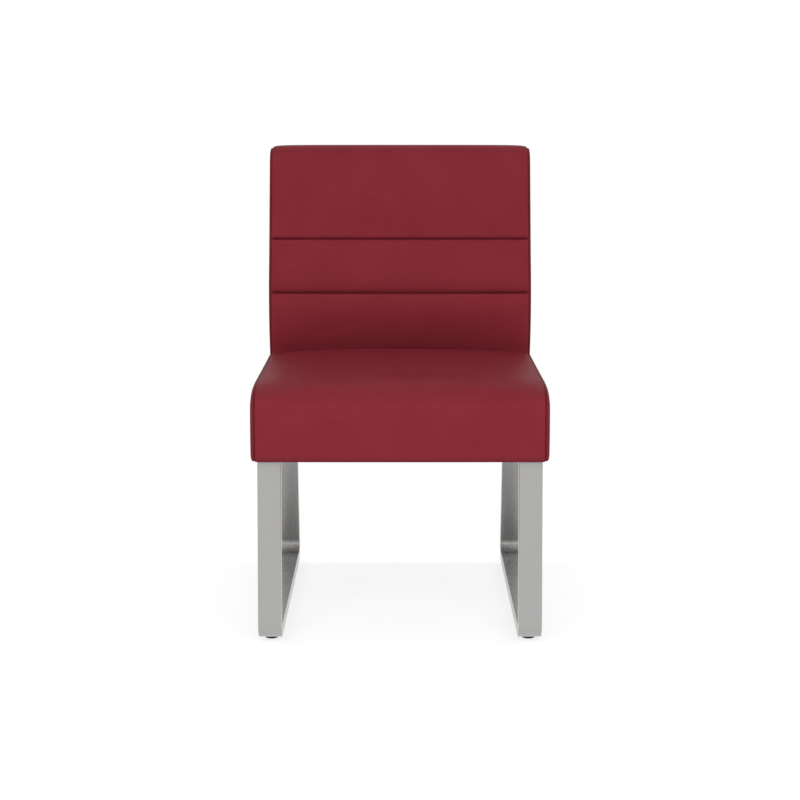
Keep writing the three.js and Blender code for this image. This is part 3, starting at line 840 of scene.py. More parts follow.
@dataclass
class Cushion:
    """A stuffed cover sewn from a wrap of main panels and two side panels.

    The mesh starts as a box cut along its seams. Shares across, along and up that box give each point
    its place on the stuffed form.
    """

    name: str
    half_width: float
    side_bulge: float
    side_rounding: float
    origin: Vector
    pitch: float = 8.0 * MM
    seam_depth: float = 1.8 * MM
    seam_lip: float = 2.5 * MM
    # Width of the painted shade along the side seams.
    seam_line: float = 1.5 * MM
    stuffing_pitch: float = 12.0 * MM
    stuffing_cap: float = 1.6 * MM
    stuffing_frames: int = 20
    pressure: float = 4.0
    smoothing_rounds: int = 12
    line_margin: float = 6.0 * MM
    seam_lines: Sequence[np.ndarray] = ()

    CLOSE = (0.0, 0.5 * MM, 1.2 * MM, 2.2 * MM, 3.6 * MM, 6.0 * MM, 10.0 * MM)
    CLOTH = {
        "quality": 6, "mass": 0.4, "tension_stiffness": 30, "compression_stiffness": 30,
        "shear_stiffness": 12, "bending_stiffness": 2.0, "use_pressure": True,
    }

    @property
    def half_seam(self) -> float:
        """Half the width between the side seams."""
        return self.half_width - self.side_bulge

    def panel(self) -> Panel:
        """The side panel's outline at the seam."""
        raise NotImplementedError

    def marks(self) -> tuple[Sequence[float], Sequence[float], Sequence[float]]:
        """Shares across, along and up at which the cuts crowd."""
        return (), (), ()

    def shaped(self, points: np.ndarray, shares: np.ndarray) -> np.ndarray:
        """Bends the flat-sided block into the cushion's own form."""
        raise NotImplementedError

    def held(self, shares: np.ndarray) -> np.ndarray:
        """How firmly each point is held by a seam or the frame, from 0 to 1."""
        raise NotImplementedError

    def sewn(self, points: np.ndarray, shares: np.ndarray) -> np.ndarray:
        """How deep each point is drawn in by the cushion's own channels."""
        return np.zeros(len(points))

    def stitched(self, points: np.ndarray, shares: np.ndarray) -> np.ndarray:
        """Painted shade lines of the cushion's own: how near each point lies to its channel seams, 1 on the
        seam itself.
        """
        return np.zeros(len(points))

    def cuts(self, pitch: float, close: Sequence[float]) -> list[list[float]]:
        """The cuts of the box along each axis.

        Args:
            pitch: The wide spacing of the cuts.
            close: Distances from a seam at which a cut lies.

        Returns:
            Shares of the box along X, Y and Z.
        """
        panel = self.panel()
        lengths = (2 * self.half_seam, panel.bottom.length, panel.rear.length)
        return [graded(length, pitch, close, [share * length for share in shares])
                for length, shares in zip(lengths, self.marks())]

    def placed(self, shares: np.ndarray) -> tuple[np.ndarray, np.ndarray]:
        """Places box points on the form.

        Args:
            shares: The points' shares across, along and up the box.

        Returns:
            The places, and each point's distance from the side seam.
        """
        panel = self.panel()
        across = 2 * shares[:, 0] - 1
        flat = panel.at(shares[:, 1], shares[:, 2])
        on_side = np.abs(across) > 1 - TINY
        margin = panel.margin(flat[on_side])
        roll = np.clip(margin / self.side_rounding, 0, 1)
        x = across * self.half_seam
        x[on_side] += np.sign(across[on_side]) * self.side_bulge * np.sqrt(1 - (1 - roll) ** 2)
        from_seam = (1 - np.abs(across)) * self.half_seam
        from_seam[on_side] = margin
        points = self.shaped(np.column_stack([x, flat]), shares)
        return points, from_seam

    def box_object(self, pitch: float, close: Sequence[float]) -> tuple[bpy.types.Object, np.ndarray]:
        """Makes a cut box.

        Args:
            pitch: The wide spacing of the cuts.
            close: Distances from a seam at which a cut lies.

        Returns:
            The object, and the shares of its points as rows.
        """
        box = cut_box(self.cuts(pitch, close))
        bmesh.ops.recalc_face_normals(box, faces=box.faces[:])
        mesh = bpy.data.meshes.new(self.name)
        box.to_mesh(mesh)
        box.free()
        piece = bpy.data.objects.new(self.name, mesh)
        bpy.context.scene.collection.objects.link(piece)
        return piece, read_points(mesh)

    def stuffed(self) -> Callable[[np.ndarray], np.ndarray]:
        """Blows up a coarse copy of the cover as cloth.

        Returns:
            A function that gives the stuffing's push at shares of the box.
        """
        pad, shares = self.box_object(self.stuffing_pitch, (0.0,))
        start, _ = self.placed(shares)
        write_points(pad.data, start)
        held = self.held(shares)
        group = pad.vertex_groups.new(name="sewn")
        for index, weight in enumerate(held):
            group.add([index], float(weight), "REPLACE")
        cloth = pad.modifiers.new("stuffing", "CLOTH")
        for setting, value in self.CLOTH.items():
            setattr(cloth.settings, setting, value)
        cloth.settings.uniform_pressure_force = self.pressure
        cloth.settings.effector_weights.gravity = 0
        cloth.settings.vertex_group_mass = group.name
        cloth.collision_settings.use_collision = False
        cloth.point_cache.frame_start = 1
        cloth.point_cache.frame_end = self.stuffing_frames
        scene = bpy.context.scene
        for number in range(1, self.stuffing_frames + 1):
            scene.frame_set(number)
        blown = pad.evaluated_get(bpy.context.evaluated_depsgraph_get())
        push = read_points(blown.data) - start
        scene.frame_set(1)
        bpy.data.objects.remove(pad)
        size = np.linalg.norm(push, axis=1, keepdims=True)
        log.info("%s stuffed: largest push %.1f mm before its cap", self.name, size.max() / MM)
        capped = push / np.maximum(size, 1e-9) * self.stuffing_cap * np.tanh(size / self.stuffing_cap)
        return lattice_sampler(shares, capped)

    def build(self) -> bpy.types.Object:
        """Makes the stuffed, sewn and dressed cushion.

        Returns:
            The cushion's piece.
        """
        piece, shares = self.box_object(self.pitch, self.CLOSE)
        points, from_seam = self.placed(shares)
        write_points(piece.data, points)
        normals = read_normals(piece.data)
        points = points + smoothed(self.stuffed()(shares), piece.data, self.smoothing_rounds)
        lip = np.clip(1 - from_seam / self.seam_lip, 0, 1)
        seam = self.seam_depth * (1 - np.sqrt(1 - lip ** 2))
        inward = seam + self.sewn(points, shares)
        final = points - normals * inward[:, None] + np.array(self.origin)
        # Painted shade along the side seams and the cushion's own shade lines, kept for the vinyl's colour.
        painted_shade = np.maximum(1 - from_seam / self.seam_line, self.stitched(points, shares)).clip(0)
        mark = piece.data.attributes.new(PAINTED_SHADE, "FLOAT", "POINT")
        mark.data.foreach_set("value", painted_shade.astype(np.float32))
        write_points(piece.data, final)
        on_front = (shares[:, 1] < TINY) & (np.abs(points[:, 0]) < self.half_seam - self.line_margin)
        self.seam_lines = [final[on_front & (np.abs(shares[:, 2] - share) < ON_MARK)]
                           for share in self.marks()[2]]
        piece.data.shade_smooth()
        piece.data.materials.append(material_of(VINYL))
        finer = piece.modifiers.new("finer", "SUBSURF")
        finer.levels = finer.render_levels = 1
        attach(piece, ROOT_BODY)
        return piece


def read_points(mesh: bpy.types.Mesh) -> np.ndarray:
    """The places of a mesh's vertices.

    Args:
        mesh: The mesh to read.

    Returns:
        A row of X, Y and Z for each vertex.
    """
    flat = np.empty(len(mesh.vertices) * 3, np.float32)
    mesh.vertices.foreach_get("co", flat)
    return flat.reshape(-1, 3).astype(float)


def write_points(mesh: bpy.types.Mesh, points: np.ndarray) -> None:
    """Moves a mesh's vertices."""
    mesh.vertices.foreach_set("co", points.astype(np.float32).ravel())
    mesh.update()


def read_normals(mesh: bpy.types.Mesh) -> np.ndarray:
    """The normals of a mesh's vertices.

    Args:
        mesh: The mesh to read.

    Returns:
        A row of X, Y and Z for each vertex.
    """
    flat = np.empty(len(mesh.vertices) * 3, np.float32)
    mesh.vertices.foreach_get("normal", flat)
    return flat.reshape(-1, 3).astype(float)


def smoothed(field: np.ndarray, mesh: bpy.types.Mesh, rounds: int) -> np.ndarray:
    """Averages a field over a mesh's neighbours.

    Args:
        field: A vector at each vertex.
        mesh: The mesh whose edges join the neighbours.
        rounds: How often to average.

    Returns:
        The smoothed field.
    """
    ends = np.empty(len(mesh.edges) * 2, np.int32)
    mesh.edges.foreach_get("vertices", ends)
    first, second = ends.reshape(-1, 2).T
    count = np.bincount(ends, minlength=len(field))[:, None]
    for _ in range(rounds):
        total = np.zeros_like(field)
        np.add.at(total, first, field[second])
        np.add.at(total, second, field[first])
        field = 0.5 * field + 0.5 * total / np.maximum(count, 1)
    return field


def lattice_sampler(shares: np.ndarray, values: np.ndarray) -> Callable[[np.ndarray], np.ndarray]:
    """Reads values on a cut box's points at any other points on the box.

    Args:
        shares: The places at which values are known, on planes along each axis.
        values: A vector at each.

    Returns:
        A function from shares to values.
    """
    lines = [np.unique(np.round(shares[:, axis], 6)) for axis in range(3)]
    table = np.zeros((*(len(line) for line in lines), 3))
    index = tuple(np.searchsorted(line, np.round(shares[:, i], 6)) for i, line in enumerate(lines))
    table[index] = values

    def sample(places: np.ndarray) -> np.ndarray:
        """Values between the nearest planes along each axis.

        Args:
            places: Shares of the box, as rows.

        Returns:
            A value for each.
        """
        low, part = [], []
        for axis, line in enumerate(lines):
            at = np.clip(np.searchsorted(line, places[:, axis], side="right") - 1, 0, len(line) - 2)
            low.append(at)
            part.append((places[:, axis] - line[at]) / (line[at + 1] - line[at]))
        total = np.zeros((len(places), 3))
        for corner in np.ndindex(2, 2, 2):
            weight = np.prod([p if c else 1 - p for c, p in zip(corner, part)], axis=0)
            total += weight[:, None] * table[tuple(at + c for c, at in zip(corner, low))]
        return total

    return sample


# Upholstery


@dataclass
class SeatCushion(Cushion):
    """The boxed seat with its waterfall front."""

    depth: float = 524.7 * MM
    thickness: float = 127.0 * MM
    crown: float = 9.5 * MM
    crown_rise: float = 45.0 * MM
    crown_power: float = 3.0
    front_bow: float = 2.0 * MM
    waterfall_length: float = 125.0 * MM
    waterfall_drop: float = 35.5 * MM
    waterfall_power: float = 2.5
    rear_radius: float = 20.0 * MM
    edge_radius: float = 4.0 * MM
    front_edge_depth: float = 4.5 * MM
    front_edge_height: float = 9.0 * MM
    # Height and strength of the painted shade along the front's lower edge.
    fold_height: float = 10.0 * MM
    fold_shade: float = 0.4
    hem_side: float = 212.7 * MM
    hem_front: float = 48.5 * MM
    hem_rear: float = 484.2 * MM
    hem_depth: float = 2.4 * MM
    knee: float = 22.0
    rear_hold_share: float = 0.7

    def waterfall(self, start: float, end: float, steps: int = 40) -> np.ndarray:
        """Points of the front's curve between two angles of its power curve.

        Args:
            start: The angle at the run's start, in degrees from the curve's foot.
            end: The angle at its end.
            steps: How many steps it has.

        Returns:
            The points of the profile.
        """
        angles = np.radians(np.linspace(start, end, steps + 1))
        power = 2 / self.waterfall_power
        along = self.waterfall_length * (1 - np.cos(angles) ** power)
        up = self.thickness - self.waterfall_drop * (1 - np.sin(angles) ** power)
        return np.stack([along, up], 1)

    def panel(self) -> Panel:
        """The profile from front to rear, with its corners shared between the edges.

        Returns:
            The outline at the seam.
        """
        r, top = self.edge_radius, self.thickness
        front = (self.front_edge_depth, self.front_edge_height)
        low_rear = (self.depth - r, r)
        high_rear = (self.depth - self.rear_radius, top - self.rear_radius)
        rear = (self.rear_radius, self.rear_radius)
        return Panel(
            front=Edge(arc(front, front, 225, 180, 8), self.waterfall(0, self.knee)),
            rear=Edge(arc(low_rear, (r, r), 315, 360, 6), arc(high_rear, rear, 0, 45)),
            bottom=Edge(arc(front, front, 225, 270, 8), arc(low_rear, (r, r), 270, 315, 6)),
            top=Edge(self.waterfall(self.knee, 90), arc(high_rear, rear, 90, 45)),
        )

    def marks(self) -> tuple[Sequence[float], Sequence[float], Sequence[float]]:
        """The hem's edges on the underside.

        Returns:
            Shares across, along and up.
        """
        reach = 0.5 * self.hem_side / self.half_seam
        bottom = self.panel().bottom
        ends = [bottom.share_of(place, 0) for place in (self.hem_front, self.hem_rear)]
        return (0.5 - reach, 0.5 + reach), ends, ()

    def shaped(self, points: np.ndarray, shares: np.ndarray) -> np.ndarray:
        """Adds the crown, the bow of the front and the step inside the hem.

        Args:
            points: Points on the flat-sided block.
            shares: Their shares of the box.

        Returns:
            The points on the seat's form.
        """
        across = np.abs(2 * shares[:, 0] - 1)
        x, y, z = points.T
        middle = self.thickness / 2
        upper = np.clip((z - middle) / (self.thickness - middle), 0, 1)
        forward = 1 - np.clip(y / self.waterfall_length, 0, 1)
        rise = smoothstep(y, 0, self.crown_rise)
        under = (shares[:, 2] < TINY) & (np.abs(x) < self.hem_side)
        under &= (y > self.hem_front) & (y < self.hem_rear)
        crown = self.crown * (1 - across ** self.crown_power) * rise * upper
        bowed = y + self.front_bow * across ** 2 * forward
        return np.column_stack([x, bowed, z + crown + self.hem_depth * under])

    def stitched(self, points: np.ndarray, shares: np.ndarray) -> np.ndarray:
        """Painted shade along the front's lower edge, where the cover turns under, fainter than the seam
        lines.
        """
        return self.fold_shade * (1 - points[:, 2] / self.fold_height) * (points[:, 1] < self.fold_height)

    def held(self, shares: np.ndarray) -> np.ndarray:
        """Held at the side seams, all over the underside and low on the rear.

        Args:
            shares: The points' shares of the box.

        Returns:
            1 where a point is held and 0 elsewhere.
        """
        on_seam = (np.abs(2 * shares[:, 0] - 1) > 1 - TINY) & on_rim(shares[:, 1:])
        under = shares[:, 2] < TINY
        rear = (shares[:, 1] > 1 - TINY) & (shares[:, 2] < self.rear_hold_share)
        return (on_seam | under | rear).astype(float)


@dataclass
class BackCushion(Cushion):
    """The raked back slab with two sewn channels."""

    height: float = 525.6 * MM
    depth: float = 49.0 * MM
    rake: float = math.radians(14.0)
    front_bend: float = 291.0 * MM
    rear_bend: float = 255.0 * MM
    bend_span: float = 45.0 * MM
    crown: float = 5.0 * MM
    corner_drop: float = 19.0 * MM
    corner_fade: float = 1.5 * MM
    top_front_radius: float = 28.0 * MM
    top_rear_radius: float = 13.0 * MM
    edge_radius: float = 4.0 * MM
    seat_top: float = 127.0 * MM
    lumbar_height: float = 222.0 * MM
    lumbar_reach: float = 95.0 * MM
    lumbar_bulge: float = 14.0 * MM
    lumbar_tuck: float = 10.0 * MM
    lower_channel: float = 244.2 * MM
    upper_channel: float = 346.6 * MM
    channel_depth: float = 8.5 * MM
    channel_lip: float = 4.0 * MM
    lower_roll: float = 34.0 * MM
    upper_roll: float = 7.0 * MM
    # Width of the painted shade lines at the channels and the top seam.
    stitch_line: float = 1.3 * MM
    top_seam: float = 513.0 * MM
    # Strengths of the painted shade lines at the top seam and the channels.
    top_seam_shade: float = 0.3
    lower_channel_share: float = 1.35
    upper_channel_share: float = 0.6
    channel_fade: float = 8.0 * MM
    panel_pillow: float = 5.0 * MM
    pillow_powers: Sequence[float] = (3, 1, 1)
    corner_reach: float = 60.0 * MM
    wrap_share: float = 0.3
    foot_share: float = 0.05

    def panel(self) -> Panel:
        """The slab's section before it leans.

        Returns:
            The outline at the seam.
        """
        r, far, top = self.edge_radius, self.depth, self.height
        front = (self.top_front_radius, self.top_front_radius)
        rear = (self.top_rear_radius, self.top_rear_radius)
        high_front = (front[0], top - front[0])
        high_rear = (far - rear[0], top - rear[0])
        return Panel(
            front=Edge(arc((r, r), (r, r), 225, 180, 6), arc(high_front, front, 180, 135)),
            rear=Edge(arc((far - r, r), (r, r), 315, 360, 6), arc(high_rear, rear, 0, 45)),
            bottom=Edge(arc((r, r), (r, r), 225, 270, 6), arc((far - r, r), (r, r), 270, 315, 6)),
            top=Edge(arc(high_front, front, 135, 90), arc(high_rear, rear, 90, 45)),
        )

    def marks(self) -> tuple[Sequence[float], Sequence[float], Sequence[float]]:
        """The two channels and the top seam.

        Returns:
            Shares across, along and up.
        """
        front = self.panel().front
        seams = (self.lower_channel, self.upper_channel, self.top_seam)
        return (), (), [front.share_of(seam, 1) for seam in seams]

    def lean(self, height: np.ndarray, bend: float) -> np.ndarray:
        """How far the raked part has leaned at a height, eased in around its bend.

        Args:
            height: Heights above the slab's foot.
            bend: The height at which the rake starts.

        Returns:
            How far back each height lies.
        """
        past = height - bend
        eased = np.where(past >= self.bend_span, past,
                         np.clip(past + self.bend_span, 0, None) ** 2 / (4 * self.bend_span))
        return math.tan(self.rake) * eased

    def swell(self, height: np.ndarray) -> np.ndarray:
        """The lumbar swell at a height.

        Args:
            height: Heights above the slab's foot.

        Returns:
            How far forward each height stands.
        """
        below = self.lumbar_height - self.seat_top
        share = (height - self.seat_top) / below
        reach = np.where(share < 1, below, self.lumbar_reach)
        inside = np.clip(1 - ((height - self.lumbar_height) / reach) ** 2, 0, None)
        tucked = (1 - np.clip(share, 0, 1)) ** 3 * smoothstep(share, -0.5, 0.0)
        return self.lumbar_bulge * inside ** np.where(share < 1, 1.0, 1.5) - self.lumbar_tuck * tucked

    def pillow(self, height: np.ndarray) -> np.ndarray:
        """How far the panels between the channels stand out.

        Args:
            height: Heights above the slab's foot.

        Returns:
            How far forward each height stands.
        """
        total = np.zeros_like(height)
        levels = (self.seat_top, self.lower_channel, self.upper_channel, self.height)
        for low, high, power in zip(levels, levels[1:], self.pillow_powers):
            share = np.clip((height - low) / (high - low), 0, 1)
            total += self.panel_pillow * np.sin(np.pi * share ** power)
        return total

    def dropped(self, x: np.ndarray, height: np.ndarray) -> np.ndarray:
        """Heights lowered towards the rounded top corners.

        Args:
            x: Places across the back.
            height: Heights above the slab's foot.

        Returns:
            The lowered heights.
        """
        inside = self.half_width - np.minimum(np.abs(x), self.half_seam)
        drop = self.corner_drop * self.corner_fade / (inside + self.corner_fade)
        return height - drop * smoothstep(height, self.height - self.corner_reach, self.height)

    def fade(self, x: np.ndarray) -> np.ndarray:
        """How fully a channel shows across the back, none at the side seam."""
        return np.clip((self.half_seam - np.abs(x)) / self.channel_fade, 0, 1)

    def shaped(self, points: np.ndarray, shares: np.ndarray) -> np.ndarray:
        """Leans the slab and adds its swell, crown and pillows.

        Args:
            points: Points on the flat-sided block.
            shares: Their shares of the box.

        Returns:
            The points on the back's form.
        """
        across = np.abs(2 * shares[:, 0] - 1)
        x, y, z = points.T
        z = self.dropped(x, z)
        rearward = np.clip(y / self.depth, 0, 1)
        front = self.lean(z, self.front_bend) - self.swell(z)
        front = front - self.crown * (1 - across ** 2) * smoothstep(z, self.seat_top, self.lumbar_height)
        front = front - self.pillow(z) * self.fade(x)
        rear = self.lean(z, self.rear_bend)
        return np.column_stack([x, y + front * (1 - rearward) + rear * rearward, z])

    def sewn(self, points: np.ndarray, shares: np.ndarray) -> np.ndarray:
        """The two channels on the front, rolled in from both lips.

        Args:
            points: Points on the stuffed form.
            shares: Their shares of the box.

        Returns:
            How deep each point is drawn in.
        """
        on_front = 1 - np.clip(shares[:, 1] / self.wrap_share, 0, 1)
        on_front = on_front * (np.abs(2 * shares[:, 0] - 1) < 1 - TINY)
        total = np.zeros(len(points))
        for channel, roll in ((self.lower_channel, self.lower_roll), (self.upper_channel, self.upper_roll)):
            above = points[:, 2] - channel
            lip = np.clip(1 - np.abs(above) / np.where(above > 0, roll, self.channel_lip), 0, 1)
            total += self.channel_depth * (1 - np.sqrt(1 - lip ** 2))
        return total * on_front * np.clip(self.fade(points[:, 0]) * 2, 0, 1)

    def stitched(self, points: np.ndarray, shares: np.ndarray) -> np.ndarray:
        """Painted shade lines on the front: two in the channels, and a fainter one along the top.

        Args:
            points: Points on the stuffed form.
            shares: Their shares of the box.

        Returns:
            How strongly each point is darkened by a seam line.
        """
        seams = (
            (self.lower_channel, self.lower_channel_share),
            (self.upper_channel, self.upper_channel_share),
            (self.top_seam, self.top_seam_shade),
        )
        near = np.max([share * (1 - np.abs(points[:, 2] - seam) / self.stitch_line).clip(0)
                       for seam, share in seams], axis=0)
        return near * (shares[:, 1] < TINY) * self.fade(points[:, 0])

    def held(self, shares: np.ndarray) -> np.ndarray:
        """Held at the side seams, the channels, the foot and all over the rear.

        Args:
            shares: The points' shares of the box.

        Returns:
            1 where a point is held and 0 elsewhere.
        """
        on_seam = (np.abs(2 * shares[:, 0] - 1) > 1 - TINY) & on_rim(shares[:, 1:])
        rear = shares[:, 1] > 1 - TINY
        channels = [np.abs(shares[:, 2] - share) < ON_MARK for share in self.marks()[2][:2]]
        quilted = (shares[:, 1] < TINY) & np.any(channels, axis=0)
        return (on_seam | rear | quilted | (shares[:, 2] < self.foot_share)).astype(float)


@dataclass
class StitchRow:
    """A row of lock stitches along the bottom of a channel."""

    name: str
    line: np.ndarray
    pitch: float = 6.2 * MM
    length: float = 4.6 * MM
    radius: float = 0.5 * MM
    lift: float = 0.25 * MM

    def build(self) -> bpy.types.Object:
        """Lays small rounded stitches along the line from end to end.

        Returns:
            The row's piece.
        """
        x, y, z = self.line[np.argsort(self.line[:, 0])].T
        count = int((x[-1] - x[0]) / self.pitch)
        shape = bmesh.new()
        for place in np.linspace(x[0], x[-1], count + 1)[1:-1]:
            middle = Vector((place, np.interp(place, x, y) - self.lift, np.interp(place, x, z)))
            size = Matrix.Diagonal((self.length / 2, self.radius, self.radius, 1))
            bmesh.ops.create_uvsphere(shape, u_segments=6, v_segments=6, radius=1.0,
                                      matrix=Matrix.Translation(middle) @ size)
        return write_piece(shape, self.name, THREAD)


@dataclass
class DustCover:
    """The thin cloth under the seat, pulled flat and stapled along its edge."""

    thickness: float = 0.4 * MM
    sag: float = 0.8 * MM
    pucker: float = 0.3 * MM
    pucker_reach: float = 22.0 * MM
    spacing: float = 36.0 * MM
    inset: float = 14.0 * MM
    staple: Vector = Vector((10.5 * MM, 1.2 * MM, 0.55 * MM))
    staple_edge: float = 0.2 * MM
    staple_skew: float = 0.12
    skew_stride: float = 917.0
    grid: int = 96

    def cloth(self, low: Vector, high: Vector) -> bpy.types.Object:
        """The sheet, drawn into small puckers between its staples.

        Args:
            low: The lowest corner of the cover's solid.
            high: Its highest corner.

        Returns:
            The cloth's piece.
        """
        shape = bmesh.new()
        bmesh.ops.create_grid(shape, x_segments=self.grid, y_segments=self.grid, size=0.5)
        middle, size = (low + high) / 2, high - low
        for vert in shape.verts:
            across, along = 2 * vert.co.x, 2 * vert.co.y
            x, y = vert.co.x * size.x, vert.co.y * size.y
            edges = ((x, size.y / 2 - abs(y)), (y, size.x / 2 - abs(x)))
            ruck = sum(math.cos(2 * math.pi * run / self.spacing) * math.exp(-gap / self.pucker_reach)
                       for run, gap in edges)
            hang = self.sag * (1 - across ** 2) * (1 - along ** 2)
            vert.co = middle + Vector((x, y, self.pucker * ruck - hang))
        bmesh.ops.solidify(shape, geom=shape.faces[:], thickness=self.thickness)
        piece = write_piece(shape, "dust_cover_cloth", DUST_CLOTH)
        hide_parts("dust_cover")
        return piece

    def staples(self, low: Vector, high: Vector) -> bpy.types.Object:
        """Lays the staples' crowns along the four edges.

        Args:
            low: The lowest corner of the cover's solid.
            high: Its highest corner.

        Returns:
            The staples' piece.
        """
        middle, size = (low + high) / 2, high - low
        shape = bmesh.new()
        for axis in (0, 1):
            length, off = size[axis], size[1 - axis] / 2 - self.inset
            count = round((length - 2 * self.inset) / self.spacing)
            for share in np.linspace(-0.5, 0.5, count + 1)[:-1] + 0.5 / count:
                for sign in (-1, 1):
                    place = Vector((0, 0, -self.thickness - self.staple.z / 2))
                    place[axis], place[1 - axis] = share * (length - 2 * self.inset), sign * off
                    skew = self.staple_skew * math.sin(self.skew_stride * share + sign)
                    turn = Matrix.Rotation(axis * math.pi / 2 + skew, 4, "Z")
                    matrix = Matrix.Translation(middle + place) @ turn
                    bmesh.ops.create_cube(shape, size=1.0, matrix=matrix @ Matrix.Diagonal((*self.staple, 1)))
        bevelled(shape, shape.edges, self.staple_edge, 1)
        return write_piece(shape, "staples", ZINC)

    def build(self) -> list[bpy.types.Object]:
        """Returns:
            The cloth and the staples.
        """
        low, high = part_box("dust_cover")
        cloth, staples = self.cloth(low, high), self.staples(low, high)
        return [cloth, staples]


@dataclass
class Upholstery:
    """The stuffed seat and back."""

    seat_bulge: float = 7.7 * MM
    seat_rounding: float = 10.0 * MM
    back_bulge: float = 4.0 * MM
    back_rounding: float = 6.0 * MM
    clearance: float = 0.3 * MM

    def build(self) -> list[bpy.types.Object]:
        """Makes both cushions and hides the solids that they stand in for.

        Returns:
            The pieces of the seat, the back and the dust cover.
        """
        low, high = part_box("seat_cover")
        _, back_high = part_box("back_cover_front")
        seat = SeatCushion("seat_cushion", high.x, self.seat_bulge, self.seat_rounding,
                           Vector((0, low.y, low.z)))
        seat_piece = seat.build()
        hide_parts("seat_cover", "seat_foam")
        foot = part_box("back_cover_rear")[0].z
        plane = low.y + seat.depth + self.clearance
        back = BackCushion("back_cushion", back_high.x, self.back_bulge, self.back_rounding,
                           Vector((0, plane, foot)))
        back_piece = back.build()
        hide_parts("back_cover_front", "back_cover_rear", "back_foam")
        rows = [StitchRow(f"stitches_{name}", line).build()
                for name, line in zip(("lower", "upper"), back.seam_lines)]
        return [seat_piece, back_piece, *rows, *DustCover().build()]


# Steel base


@dataclass(frozen=True)
class Run:
    """A stretch of a tube's middle line seen from the side: straight, or an arc that turns upwards."""

    start: Vector
    heading: float
    length: float
    radius: float = 0.0

    @property
    def turn(self) -> float:
        """The angle through which the run bends."""
        return self.length / self.radius if self.radius else 0.0

    @property
    def centre(self) -> Vector:
        """The centre of an arc, or a straight run's start."""
        return self.start + Vector((-math.sin(self.heading), math.cos(self.heading))) * self.radius

    def next(self, length: float, radius: float = 0.0) -> "Run":
        """The run that goes on from this one's end.

        Args:
            length: The next run's length.
            radius: Its radius, or 0 where it is straight.

        Returns:
            The next run.
        """
        heading = self.heading + self.turn
        if self.radius:
            end = self.centre + Vector((math.sin(heading), -math.cos(heading))) * self.radius
        else:
            end = self.start + Vector((math.cos(heading), math.sin(heading))) * self.length
        return Run(end, heading, length, radius)

    def measured(self, points: np.ndarray) -> tuple[np.ndarray, np.ndarray, np.ndarray]:
        """Places points along the run.

        Args:
            points: Rows of Y and Z.

        Returns:
            How far each point lies outside the middle line, along it, and beyond its ends.
        """
        from_centre = points - np.array(self.centre)
        if self.radius:
            angle = np.arctan2(from_centre[:, 1], from_centre[:, 0]) - self.heading + math.pi / 2
            swept = (angle + math.pi / 2) % (2 * math.pi) - math.pi / 2
            out, along = np.hypot(*from_centre.T) - self.radius, swept * self.radius
        else:
            ahead = np.array((math.cos(self.heading), math.sin(self.heading)))
            out, along = from_centre @ (ahead[1], -ahead[0]), from_centre @ ahead
        beyond = np.maximum(-along, along - self.length).clip(0)
        return out, along, beyond + np.abs(out)


